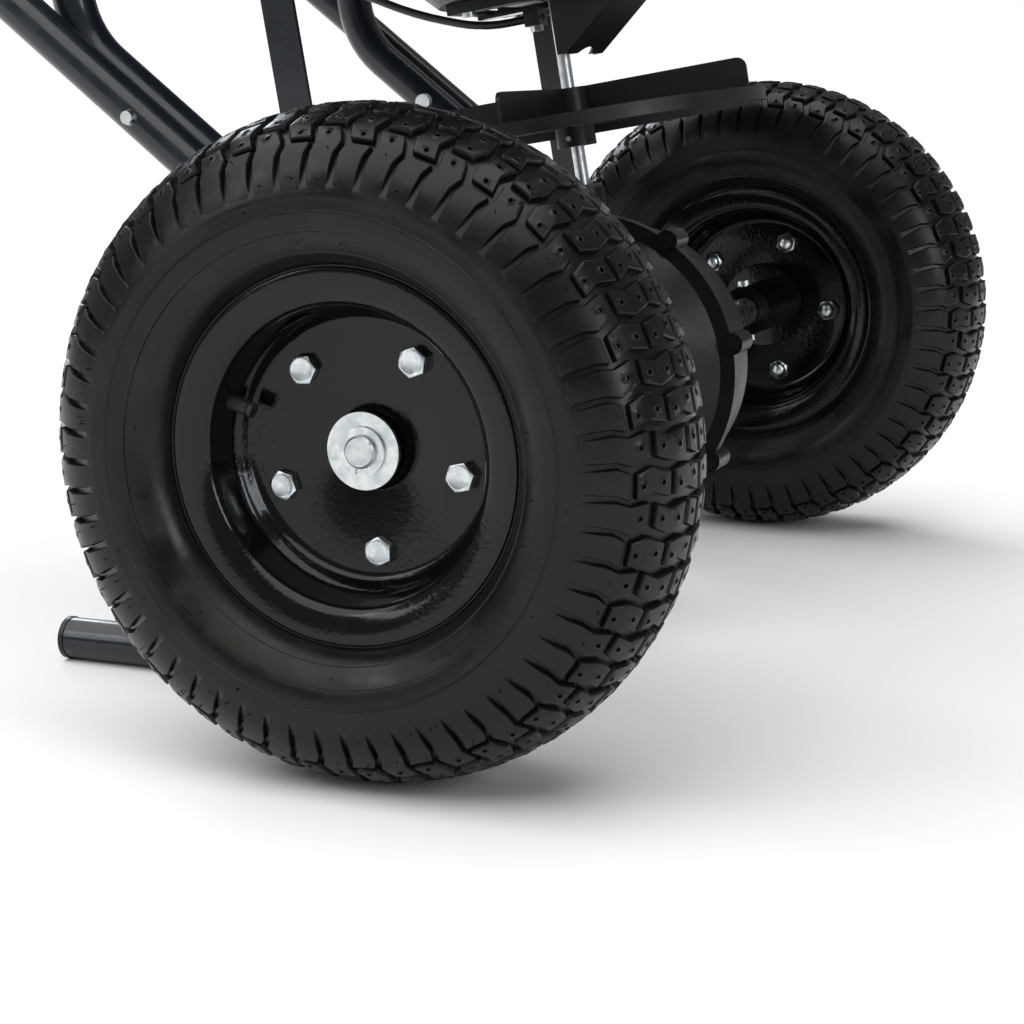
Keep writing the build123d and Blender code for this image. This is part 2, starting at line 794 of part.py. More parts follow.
# ---------------------------------------------------------------- shutter and its guide
guide_top = hopper_floor - slip_gap
guide_floor = guide_top - 6.3
guide_lip = 222.3
guide_half_width = 44.0
guide_front = -56.0
guide_rear = 52.0
channel_half_width = 34.4
mouth_half_width = 30.5
with BuildPart() as shutter_guide:
    with BuildSketch(level(guide_floor)):
        with Locations((0, (guide_front + guide_rear) / 2)):
            Rectangle(2 * guide_half_width, guide_rear - guide_front)
    extrude(amount=guide_top - guide_floor)
    with BuildSketch(level(guide_lip)):
        with Locations((0, (guide_front + guide_rear) / 2)):
            Rectangle(2 * channel_half_width, guide_rear - guide_front + 2)
    extrude(amount=5, mode=Mode.SUBTRACT)
    mouth_rear = guide_rear - 9
    with BuildSketch(level(guide_floor)):
        with Locations((0, (guide_front - 10 + mouth_rear) / 2)):
            Rectangle(2 * mouth_half_width, mouth_rear - guide_front + 10)
    extrude(amount=10, mode=Mode.SUBTRACT)
    with BuildSketch(level(guide_floor)):
        with Locations(*guide_corners):
            Circle(2.0 + slip_gap)
    extrude(amount=10, mode=Mode.SUBTRACT)
save(shutter_guide.part, "shutter_guide")

shutter_floor = guide_lip + 0.35
shutter_sheet = 2.9
shutter_front = -52.0
shutter_rear = 34.0
fork_half_width = 5.2
tab_back = -30.0
tab_half_width = 2.3
with BuildPart() as shutter:
    with BuildSketch(level(shutter_floor)):
        with Locations((0, (shutter_front + shutter_rear) / 2)):
            Rectangle(2 * channel_half_width - 0.8, shutter_rear - shutter_front)
        with Locations((0, (shutter_front - 2 + fork_half_width) / 2)):
            Rectangle(2 * fork_half_width, fork_half_width - shutter_front + 2, mode=Mode.SUBTRACT)
    extrude(amount=shutter_sheet)
    with BuildSketch(level(wire_level - 4)):
        with Locations((wire_across, tab_back)):
            Rectangle(2 * tab_half_width, 3)
    extrude(amount=shutter_floor + 1 - wire_level + 4)
    with BuildSketch(level(wire_level)):
        with Locations((wire_across, tab_back)):
            Rectangle(1.7, 4)
    extrude(amount=0.85, both=True, mode=Mode.SUBTRACT)
save(shutter.part, "shutter")

clamp_front = 12.0
wire_reach = 14.0
with BuildPart() as shutter_wire:
    with BuildSketch(wire_section(tab_back - 3)):
        Circle(0.8)
    extrude(amount=wire_reach - tab_back + 3)
save(shutter_wire.part, "shutter_wire")

chute_half_width = 31.0
chute_sheet = 2.0
chute_top = guide_floor - slip_gap
chute_rear = -8.5
chute_floor = 186.0
chute_front = -54.5
chute_slope = [(-14.0, chute_floor), (-47.0, 212.0), (chute_front, chute_top)]
chute_slope_inside = [(-51.7, chute_top), (-45.2, 213.3), (-10.8, chute_floor)]
chute_side = [(chute_rear, chute_floor), (chute_rear, chute_top), *reversed(chute_slope)]
wing = guide_half_width - chute_half_width + 1
with BuildPart() as outlet_chute:
    for across in (-1, 1):
        with BuildSketch(lean_side(across * chute_half_width)):
            with BuildLine():
                Polyline(*chute_side, close=True)
            make_face()
        extrude(amount=-across * chute_sheet)
        with BuildSketch(level(chute_top - chute_sheet)):
            with Locations((across * (chute_half_width - 1 + wing / 2), (chute_rear + chute_front) / 2)):
                Rectangle(wing, chute_rear - chute_front)
        extrude(amount=chute_sheet)
    with BuildSketch(lean_side(-chute_half_width)):
        with BuildLine():
            Polyline(*chute_slope, *chute_slope_inside, close=True)
        make_face()
    extrude(amount=2 * chute_half_width)
    with BuildSketch(level(chute_floor - 5)):
        Circle(18.0)
    extrude(amount=18, mode=Mode.SUBTRACT)
    with BuildSketch(level(chute_top - 5)):
        with Locations(*guide_corners[:2]):
            Circle(2.0 + slip_gap)
    extrude(amount=10, mode=Mode.SUBTRACT)
save(outlet_chute.part, "outlet_chute")

clamp_rear = 22.0
bracket_level = 217.4
with BuildPart() as cable_bracket:
    with BuildSketch(level(bracket_level)):
        with Locations((wire_across, (clamp_front + guide_rear) / 2)):
            Rectangle(13, guide_rear - clamp_front)
    extrude(amount=guide_floor - bracket_level - slip_gap)
    with BuildSketch(level(wire_level - 5)):
        with Locations((wire_across, (clamp_front + clamp_rear) / 2)):
            Rectangle(13, clamp_rear - clamp_front)
    extrude(amount=bracket_level - wire_level + 6)
    with BuildSketch(wire_section(clamp_front - 1)):
        Circle(cable_radius + slip_gap)
    extrude(amount=clamp_rear - clamp_front + 2, mode=Mode.SUBTRACT)
save(cable_bracket.part, "cable_bracket")

with BuildPart() as guide_screws:
    for back, seat in [(guide_screw_front, chute_top - chute_sheet), (guide_screw_rear, guide_floor)]:
        with BuildSketch(level(seat - 2.6)):
            with Locations((-guide_screw_across, back), (guide_screw_across, back)):
                Circle(4.0)
        extrude(amount=2.6)
        with BuildSketch(level(seat - 1)):
            with Locations((-guide_screw_across, back), (guide_screw_across, back)):
                Circle(2.0)
        extrude(amount=hopper_floor + floor_sheet + 1 - seat)
    with BuildSketch(level(wire_level - 5)):
        with Locations((wire_across, (clamp_front + clamp_rear) / 2)):
            RegularPolygon(radius=3.5, side_count=6, major_radius=False)
    extrude(amount=-3.2)
save(guide_screws.part, "guide_screws")

# ---------------------------------------------------------------- side frames
plate_bolt_along = 85.0
strut_back = 84.0
strut_half_width = 9.5
strut_floor = 78.0
strut_bolt_level = tube_line_level(strut_back)
strut_bolt = from_lean(strut_back, strut_bolt_level)
strut_bolt_along = strut_bolt[0] * cos_tube + (strut_bolt[1] - wheel_radius) * sin_tube
visible_bolt_along = 253.0
frame_bolts = [plate_bolt_along, strut_bolt_along, visible_bolt_along]
handle_bolts_along = [side_tube_top - 60, side_tube_top - 20]
bolt_radius = 3.0
bolt_hole = bolt_radius + slip_gap
foot_end_height = cap_radius
foot_rise = tan(radians(foot_slope))
tube_rise = tan(radians(tube_angle))
line_height = wheel_radius - tube_line_drop / cos_tube
corner_back = (foot_end_height + foot_end * foot_rise - line_height) / (tube_rise + foot_rise)
corner_height = line_height + tube_rise * corner_back
cap_head = 3.0
foot_tube_end = foot_end - cap_head
foot_tube_height = foot_end_height + cap_head * foot_rise
tube_start = 26.0
post_vertex = (post_back, tube_line_level(post_back))
post_cap_sheet = 12.0
post_top = rim_roll_level - rim_roll_radius - 0.5
hoop_level = hopper_floor + hoop_circle - hopper_floor_radius - (hoop_radius + clear) * sqrt(2)
strut_top = hoop_level - hoop_radius - 0.1


def make_outer_tube(side, sign):
    """Side tube: from the handle joint down past the axle and round to the foot."""
    x = sign * outer_tube_x
    with BuildPart() as tube:
        with BuildLine(ground_side(x)) as path:
            FilletPolyline(
                tube_to_ground(side_tube_top, 0),
                (corner_back, corner_height),
                (foot_tube_end, foot_tube_height),
                radius=foot_bend_radius,
            )
        with BuildSketch(Plane(origin=path.line @ 0, z_dir=path.line % 0)):
            Circle(tube_radius)
            Circle(tube_bore, mode=Mode.SUBTRACT)
        sweep()
        with BuildSketch(tube_side(x)):
            with Locations(*[(along, 0) for along in frame_bolts + handle_bolts_along]):
                Circle(bolt_hole)
        extrude(amount=2 * tube_radius, both=True, mode=Mode.SUBTRACT)
    save(tube.part, f"{side}_side_tube")


for side, sign in [("right", -1), ("left", 1)]:
    make_outer_tube(side, sign)

# post tubes: beside the side tubes, then bent up behind the hopper to its rim
post_start = tube_to_ground(tube_start, 0)
post_points = [post_start, from_lean(*post_vertex), from_lean(post_back, post_top)]
with BuildPart() as post_tubes:
    for sign in (-1, 1):
        x = sign * inner_tube_x
        with BuildLine(ground_side(x)) as path:
            FilletPolyline(*post_points, radius=post_bend_radius)
        with BuildSketch(Plane(origin=path.line @ 0, z_dir=path.line % 0)):
            Circle(tube_radius)
            Circle(tube_bore, mode=Mode.SUBTRACT)
        sweep()
        with BuildSketch(level(post_top - post_cap_sheet)):
            with Locations((x, post_back)):
                Circle(tube_bore + 0.5)
        extrude(amount=post_cap_sheet)
        with BuildSketch(tube_side(x)):
            with Locations(*[(along, 0) for along in frame_bolts]):
                Circle(bolt_hole)
        extrude(amount=2 * tube_radius, both=True, mode=Mode.SUBTRACT)
        with BuildSketch(level(post_top - 30)):
            with Locations((sign * post_screw_x, post_screw_back)):
                Circle(post_screw_radius + press_gap)
        extrude(amount=40, mode=Mode.SUBTRACT)
save(post_tubes.part, "post_tubes")

# plates between the two tubes that carry the axle bushes
with BuildPart() as axle_plates:
    for sign in (-1, 1):
        with BuildSketch(tube_side(sign * side_plate_x)):
            SlotCenterPoint((plate_bolt_along / 2, tube_line_drop / 2), (plate_bolt_along, 0), 30)
            with Locations((plate_bolt_along, 0)):
                Circle(bolt_hole, mode=Mode.SUBTRACT)
            with Locations((0, tube_line_drop)):
                Circle(10.0 + press_gap, mode=Mode.SUBTRACT)
        extrude(amount=side_plate_sheet / 2, both=True)
save(axle_plates.part, "axle_plates")

# flat bars from the side tubes up to the hopper hoop
with BuildPart() as struts:
    for sign in (-1, 1):
        with BuildSketch(lean_side(sign * side_plate_x)):
            with Locations((strut_back, (strut_floor + strut_top) / 2)):
                Rectangle(2 * strut_half_width, strut_top - strut_floor)
            with Locations((strut_back, strut_bolt_level)):
                Circle(bolt_hole, mode=Mode.SUBTRACT)
        extrude(amount=side_plate_sheet / 2, both=True)
save(struts.part, "struts")

side_plate_inner = side_plate_x - side_plate_sheet / 2
with BuildPart() as axle_bushes:
    for facing in (-1, 1):
        with BuildSketch(axle_face(facing * frame_bush_inner, facing)):
            Circle(15.0)
            Circle(bush_bore, mode=Mode.SUBTRACT)
        extrude(amount=side_plate_inner - frame_bush_inner)
        with BuildSketch(axle_face(facing * frame_bush_inner, facing)):
            Circle(10.0)
            Circle(bush_bore, mode=Mode.SUBTRACT)
        extrude(amount=frame_bush_outer - frame_bush_inner)
    for place, facing, wall in [(gearcase_near, -1, 9.0), (gearcase_far, 1, 10.0)]:
        with BuildSketch(axle_face(place, facing)):
            Circle(15.0)
            Circle(bush_bore, mode=Mode.SUBTRACT)
        extrude(amount=gearcase_bush_flange)
        with BuildSketch(axle_face(place, -facing)):
            Circle(case_bore - press_gap)
            Circle(bush_bore, mode=Mode.SUBTRACT)
        extrude(amount=wall)
save(axle_bushes.part, "axle_bushes")

head_seat = inner_tube_x - tube_radius
nut_seat = outer_tube_x + tube_radius
with BuildPart() as frame_screws:
    for sign in (-1, 1):
        with BuildSketch(tube_side(sign * head_seat)):
            with Locations(*[(along, 0) for along in frame_bolts]):
                Circle(6.2)
        extrude(amount=-sign * 3.6, taper=12)
        with BuildSketch(tube_side(sign * (head_seat - 1))):
            with Locations(*[(along, 0) for along in frame_bolts]):
                Circle(bolt_radius)
        extrude(amount=sign * (nut_seat - head_seat + 3.0))
save(frame_screws.part, "frame_screws")

with BuildPart() as frame_nuts:
    for sign in (-1, 1):
        with BuildSketch(tube_side(sign * nut_seat)):
            with Locations(*[(along, 0) for along in frame_bolts]):
                Circle(4.6)
        extrude(amount=sign * 4.0, taper=14)
        with BuildSketch(tube_side(sign * nut_seat)):
            with Locations(*[(along, 0) for along in frame_bolts]):
                Circle(bolt_radius + press_gap)
        extrude(amount=sign * 2.4, mode=Mode.SUBTRACT)
save(frame_nuts.part, "frame_nuts")

with BuildPart() as foot_caps:
    for sign in (-1, 1):
        foot_back = (0, cos(radians(foot_slope)), -sin(radians(foot_slope)))
        end = (sign * outer_tube_x, axle_y + foot_tube_end, foot_tube_height)
        cap_plane = Plane(origin=end, x_dir=(1, 0, 0), z_dir=foot_back)
        with BuildSketch(cap_plane):
            Circle(cap_radius)
        extrude(amount=cap_head)
        with BuildSketch(cap_plane):
            Circle(tube_bore - slip_gap)
        extrude(amount=-16)
save(foot_caps.part, "foot_caps")

with BuildPart() as hopper_hoop:
    with BuildSketch(shaft_section):
        with Locations((hoop_circle, hoop_level)):
            Circle(hoop_radius)
    revolve(axis=shaft_axis)
save(hopper_hoop.part, "hopper_hoop")

# headless screws in the post tubes' plugs, flush with the hopper's rim, that locate it
post_screw_reach = 22.0
with BuildPart() as hopper_screws:
    with BuildSketch(level(post_top - post_screw_reach)):
        with Locations(*post_screw_places):
            Circle(post_screw_radius)
    extrude(amount=hopper_top + rim_half_sheet - slip_gap - post_top + post_screw_reach)
save(hopper_screws.part, "hopper_screws")

# ---------------------------------------------------------------- handle
handle_start = side_tube_top - handle_overlap
knee = tube_to_ground(handle_knee, 0)
lower = tube_to_ground(handle_start, 0)


def handle_point(sign, place):
    return (sign * outer_tube_x, axle_y + place[0], place[1])


with BuildPart() as handle:
    with BuildLine() as path:
        FilletPolyline(
            handle_point(-1, lower),
            handle_point(-1, knee),
            handle_point(-1, (handle_back, handle_height)),
            handle_point(1, (handle_back, handle_height)),
            handle_point(1, knee),
            handle_point(1, lower),
            radius=handle_corner,
        )
    with BuildSketch(Plane(origin=path.line @ 0, z_dir=path.line % 0)):
        Circle(handle_radius)
        Circle(handle_radius - 1.5, mode=Mode.SUBTRACT)
    sweep()
    for sign in (-1, 1):
        with BuildSketch(tube_side(sign * outer_tube_x)):
            with Locations(*[(along, 0) for along in handle_bolts_along]):
                Circle(bolt_hole)
        extrude(amount=2 * tube_radius, both=True, mode=Mode.SUBTRACT)
save(handle.part, "handle")

grip_half_length = outer_tube_x - handle_corner - 4.0
grip_end = (-grip_half_length, axle_y + handle_back, handle_height)
with BuildPart() as handle_grip:
    with BuildSketch(Plane(origin=grip_end, z_dir=(1, 0, 0))):
        Circle(grip_radius)
        Circle(handle_radius + slip_gap, mode=Mode.SUBTRACT)
    extrude(amount=2 * grip_half_length)
    fillet(handle_grip.edges().filter_by(GeomType.CIRCLE).group_by(SortBy.RADIUS)[-1], radius=3)
save(handle_grip.part, "handle_grip")

with BuildPart() as handle_nuts:
    for sign in (-1, 1):
        with BuildSketch(tube_side(sign * (outer_tube_x - tube_radius))):
            with Locations(*[(along, 0) for along in handle_bolts_along]):
                RegularPolygon(radius=5.0, side_count=6, major_radius=False)
        extrude(amount=-sign * 6.5)
        with BuildSketch(tube_side(sign * (outer_tube_x - tube_radius))):
            with Locations(*[(along, 0) for along in handle_bolts_along]):
                Circle(bolt_radius + press_gap)
        extrude(amount=-sign * 5.4, mode=Mode.SUBTRACT)
save(handle_nuts.part, "handle_nuts")

# ---------------------------------------------------------------- braces across the tubes
brace_half_length = outer_tube_x + 10.0
brace_half_width = 15.0
brace_sheet = 4.0
frame_brace_along = 417.0
handle_brace_along = 1085.0


def tube_plan(rise):
    """Plane lying over the side tubes; local x is across, local y runs up the tubes."""
    side = tube_side(0)
    return Plane(origin=side.from_local_coords((0, rise, 0)), x_dir=(1, 0, 0), z_dir=side.y_dir)


frame_brace_seat = tube_radius + slip_gap
handle_brace_seat = handle_radius + slip_gap
brace_places = [(frame_brace_along, frame_brace_seat), (handle_brace_along, handle_brace_seat)]
with BuildPart() as braces:
    for along, seat in brace_places:
        with BuildSketch(tube_side(-brace_half_length)):
            with Locations((along, seat + brace_sheet / 2)):
                Rectangle(2 * brace_half_width, brace_sheet)
        extrude(amount=2 * brace_half_length)
        with BuildSketch(tube_plan(seat)):
            with Locations((-outer_tube_x, along), (outer_tube_x, along)):
                Circle(bolt_hole)
        extrude(amount=brace_sheet, mode=Mode.SUBTRACT)
save(braces.part, "braces")

with BuildPart() as handle_screws:
    for along, seat in brace_places:
        with BuildSketch(tube_plan(seat + brace_sheet)):
            with Locations((-outer_tube_x, along), (outer_tube_x, along)):
                Circle(5.6)
        extrude(amount=3.2, taper=12)
        with BuildSketch(tube_plan(seat + 0.2)):
            with Locations((-outer_tube_x, along), (outer_tube_x, along)):
                Circle(bolt_radius)
        extrude(amount=brace_sheet + 0.5)
    for sign in (-1, 1):
        with BuildSketch(tube_side(sign * (outer_tube_x + tube_radius))):
            with Locations(*[(along, 0) for along in handle_bolts_along]):
                Circle(5.6)
        extrude(amount=sign * 3.2, taper=12)
        with BuildSketch(tube_side(sign * (outer_tube_x + tube_radius + 1))):
            with Locations(*[(along, 0) for along in handle_bolts_along]):
                Circle(bolt_radius)
        extrude(amount=-sign * (2 * tube_radius + 6))
save(handle_screws.part, "handle_screws")

# ---------------------------------------------------------------- flow lever
bracket_seat = handle_brace_seat + brace_sheet
cheek_x = 12.0
cheek_sheet = 2.5
drum_radius = 36.0
pivot_along = handle_brace_along + 6.0
pivot_rise = bracket_seat + cheek_sheet + 45.0
cheek_radius = 52.0
with BuildPart() as lever_bracket:
    with BuildSketch(tube_plan(bracket_seat)):
        with Locations((0, pivot_along - 6)):
            Rectangle(2 * (cheek_x + cheek_sheet), 84)
    extrude(amount=cheek_sheet)
    for sign in (-1, 1):
        with BuildSketch(tube_side(sign * cheek_x)):
            with Locations((pivot_along, pivot_rise)):
                Circle(cheek_radius)
            with Locations((pivot_along - 6, bracket_seat + 20)):
                Rectangle(84, 40)
            with Locations((pivot_along, bracket_seat - 20)):
                Rectangle(200, 40, mode=Mode.SUBTRACT)
            with Locations((pivot_along, pivot_rise)):
                Circle(4.0 + press_gap, mode=Mode.SUBTRACT)
        extrude(amount=sign * cheek_sheet)
save(lever_bracket.part, "lever_bracket")

with BuildPart() as lever_pivot:
    with BuildSketch(tube_side(-cheek_x - cheek_sheet)):
        with Locations((pivot_along, pivot_rise)):
            Circle(4.0)
    extrude(amount=2 * (cheek_x + cheek_sheet))
    for sign in (-1, 1):
        with BuildSketch(tube_side(sign * (cheek_x + cheek_sheet))):
            with Locations((pivot_along, pivot_rise)):
                RegularPolygon(radius=6.5, side_count=6, major_radius=False)
        extrude(amount=sign * 5.0)
save(lever_pivot.part, "lever_pivot")

lever_lean = 25.0
lever_reach = 165.0
lever_half_thick = 3.5
lever_tip = (
    pivot_along + lever_reach * sin(radians(lever_lean)),
    pivot_rise + lever_reach * cos(radians(lever_lean)),
)
drum_half_width = 6.0
with BuildPart() as flow_lever:
    with BuildSketch(tube_side(0)):
        with Locations((pivot_along, pivot_rise)):
            Circle(drum_radius + 2)
    extrude(amount=drum_half_width, both=True)
    with BuildSketch(tube_side(0)):
        SlotCenterPoint(
            ((pivot_along + lever_tip[0]) / 2, (pivot_rise + lever_tip[1]) / 2), lever_tip, 20
        )
    extrude(amount=lever_half_thick, both=True)
    with BuildSketch(tube_side(0)):
        with Locations((pivot_along, pivot_rise)):
            Circle(drum_radius + 4)
            Circle(drum_radius - 2, mode=Mode.SUBTRACT)
    extrude(amount=1.6, both=True, mode=Mode.SUBTRACT)
    with BuildSketch(tube_side(0)):
        with Locations((pivot_along, pivot_rise)):
            Circle(4.0 + press_gap)
    extrude(amount=20, both=True, mode=Mode.SUBTRACT)
save(flow_lever.part, "flow_lever")

knob_reach = 52.0
knob_plane = Plane(
    origin=tube_side(0).from_local_coords((lever_tip[0], lever_tip[1], 0)),
    x_dir=(1, 0, 0),
    z_dir=tube_side(0).from_local_coords((lever_tip[0], lever_tip[1], 0))
    - tube_side(0).from_local_coords((pivot_along, pivot_rise, 0)),
)
with BuildPart() as lever_knob:
    with BuildSketch(knob_plane.offset(-38)):
        Ellipse(13, 15)
    extrude(amount=knob_reach + 8)
    fillet(lever_knob.edges().filter_by(GeomType.ELLIPSE), radius=5)
    with BuildSketch(knob_plane.offset(-40)):
        Rectangle(2 * (lever_half_thick + slip_gap), 20 + 2 * slip_gap)
    extrude(amount=40 + 10 + slip_gap, mode=Mode.SUBTRACT)
save(lever_knob.part, "lever_knob")

# ---------------------------------------------------------------- control cable
cable_rise = pivot_rise - drum_radius
sheath_end_along = pivot_along - 44.0
cable_points = [
    from_lean(clamp_front + 0.5, wire_level),
    from_lean(52.0, wire_level),
    from_lean(96.0, 229.0),
    from_lean(136.0, 252.0),
    from_lean(200.0, 276.0),
    tube_to_ground(frame_brace_along - 40, frame_brace_seat + brace_sheet + 14.0),
    tube_to_ground(frame_brace_along + 20, frame_brace_seat + brace_sheet + cable_radius + 0.6),
    tube_to_ground(frame_brace_along + 200, frame_brace_seat + brace_sheet - 8.0),
    tube_to_ground(frame_brace_along + 380, cable_rise - 12.0),
    tube_to_ground(handle_brace_along - 160, cable_rise - 5.0),
    tube_to_ground(handle_brace_along - 80, cable_rise),
    tube_to_ground(sheath_end_along, cable_rise),
]


def bend_radii(points, share=0.45):
    """Radius at each inner corner: as large as the two runs beside it allow."""
    radii = []
    for before, corner, after in zip(points, points[1:], points[2:]):
        first = Vector(corner[0] - before[0], corner[1] - before[1])
        second = Vector(after[0] - corner[0], after[1] - corner[1])
        turn = radians(first.get_angle(second))
        radii.append(share * min(first.length, second.length) / tan(turn / 2))
    return radii


cable_radii = bend_radii(cable_points)
print("cable bend radii", [round(radius) for radius in cable_radii])
bore_end = 56.0
with BuildPart() as control_cable:
    with BuildLine(ground_side(wire_across)) as path:
        FilletPolyline(*cable_points, radius=cable_radii)
    with BuildSketch(Plane(origin=path.line @ 0, z_dir=path.line % 0)):
        Circle(cable_radius)
    sweep()
    with BuildSketch(wire_section(0)):
        Circle(0.8 + 3 * slip_gap)
    extrude(amount=bore_end, mode=Mode.SUBTRACT)
cable_length = sum(edge.length for edge in path.edges())
print("cable length", round(cable_length), "volume over section times length", end=" ")
print(round(control_cable.part.volume / (pi * cable_radius**2 * cable_length), 3))
save(control_cable.part, "control_cable")
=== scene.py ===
import json
import math
import random

import bmesh
import bpy
import numpy as np
from mathutils import Matrix, Vector
from mathutils.geometry import delaunay_2d_cdt


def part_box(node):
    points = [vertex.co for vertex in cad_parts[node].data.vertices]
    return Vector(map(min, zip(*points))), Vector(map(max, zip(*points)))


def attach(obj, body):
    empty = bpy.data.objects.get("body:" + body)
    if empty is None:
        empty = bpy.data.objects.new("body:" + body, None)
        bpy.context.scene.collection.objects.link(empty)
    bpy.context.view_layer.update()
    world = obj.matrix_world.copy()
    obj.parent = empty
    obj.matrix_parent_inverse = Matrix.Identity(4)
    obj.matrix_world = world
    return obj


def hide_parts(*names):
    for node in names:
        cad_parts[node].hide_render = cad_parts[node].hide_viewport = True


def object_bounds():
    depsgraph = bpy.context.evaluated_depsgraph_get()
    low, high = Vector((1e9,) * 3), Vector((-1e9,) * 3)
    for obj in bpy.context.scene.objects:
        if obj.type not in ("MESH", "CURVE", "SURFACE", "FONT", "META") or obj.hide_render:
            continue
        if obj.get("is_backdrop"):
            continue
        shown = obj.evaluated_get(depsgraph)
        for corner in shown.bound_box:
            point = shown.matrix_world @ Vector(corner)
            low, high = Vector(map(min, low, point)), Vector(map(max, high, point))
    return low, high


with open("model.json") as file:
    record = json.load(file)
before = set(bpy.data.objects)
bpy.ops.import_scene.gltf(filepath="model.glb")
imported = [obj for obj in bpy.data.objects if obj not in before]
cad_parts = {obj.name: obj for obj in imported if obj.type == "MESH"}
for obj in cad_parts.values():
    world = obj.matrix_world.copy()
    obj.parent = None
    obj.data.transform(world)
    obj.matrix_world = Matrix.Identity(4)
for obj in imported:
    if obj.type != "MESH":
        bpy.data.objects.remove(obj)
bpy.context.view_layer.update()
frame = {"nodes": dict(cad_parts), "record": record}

MM = 0.001
scene = bpy.context.scene
nodes = frame["nodes"]
slot_of = {entry["node"]: entry["material_slot"] for entry in frame["record"]["subparts"]}

# the wheels' common axis and their two middle planes, from the CAD boxes
axle_low, axle_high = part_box("axle")
axle_y = (axle_low.y + axle_high.y) / 2
axle_z = (axle_low.z + axle_high.z) / 2


def middle_x(node):
    low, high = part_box(node)
    return (low.x + high.x) / 2


wheels = {
    "right": {"x": middle_x("right_tyre"), "outboard": -1, "body": "free_wheel", "bolt_turn": 60.5},
    "left": {"x": middle_x("left_tyre"), "outboard": 1, "body": "drive_axle", "bolt_turn": 70.1},
}


# ---------------------------------------------------------------- mesh helpers
def mesh_object(name, verts, faces, sharp_degrees=32.0):
    mesh = bpy.data.meshes.new(name)
    mesh.from_pydata([tuple(v) for v in verts], [], [tuple(f) for f in faces])
    mesh.validate()
    work = bmesh.new()
    work.from_mesh(mesh)
    bmesh.ops.remove_doubles(work, verts=work.verts, dist=2e-6)
    bmesh.ops.recalc_face_normals(work, faces=work.faces)
    work.to_mesh(mesh)
    work.free()
    mesh.shade_smooth()
    mesh.set_sharp_from_angle(angle=math.radians(sharp_degrees))
    piece = bpy.data.objects.new(name, mesh)
    scene.collection.objects.link(piece)
    return piece


def on_axle(x, radius, turn):
    """A point at that distance from the wheels' axis; turn 0 is forward and 90 is up, in degrees."""
    angle = math.radians(turn)
    return (x, axle_y - radius * math.cos(angle), axle_z + radius * math.sin(angle))


def lathe(profile, segments, start=0):
    """Faces of a closed profile of (x, radius) points in metres, turned round the axle."""
    count = len(profile)
    verts = [
        on_axle(x, radius, 360.0 * k / segments)
        for k in range(segments)
        for x, radius in profile
    ]
    faces = []
    for k in range(segments):
        here, there = k * count, (k + 1) % segments * count
        for i in range(count):
            j = (i + 1) % count
            faces.append([start + here + i, start + there + i, start + there + j, start + here + j])
    return verts, faces


def place(piece, body, slot, *replaced):
    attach(piece, body)
    piece.data.materials.clear()
    piece.data.materials.append(materials[slot])
    if replaced:
        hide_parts(*replaced)
    return piece


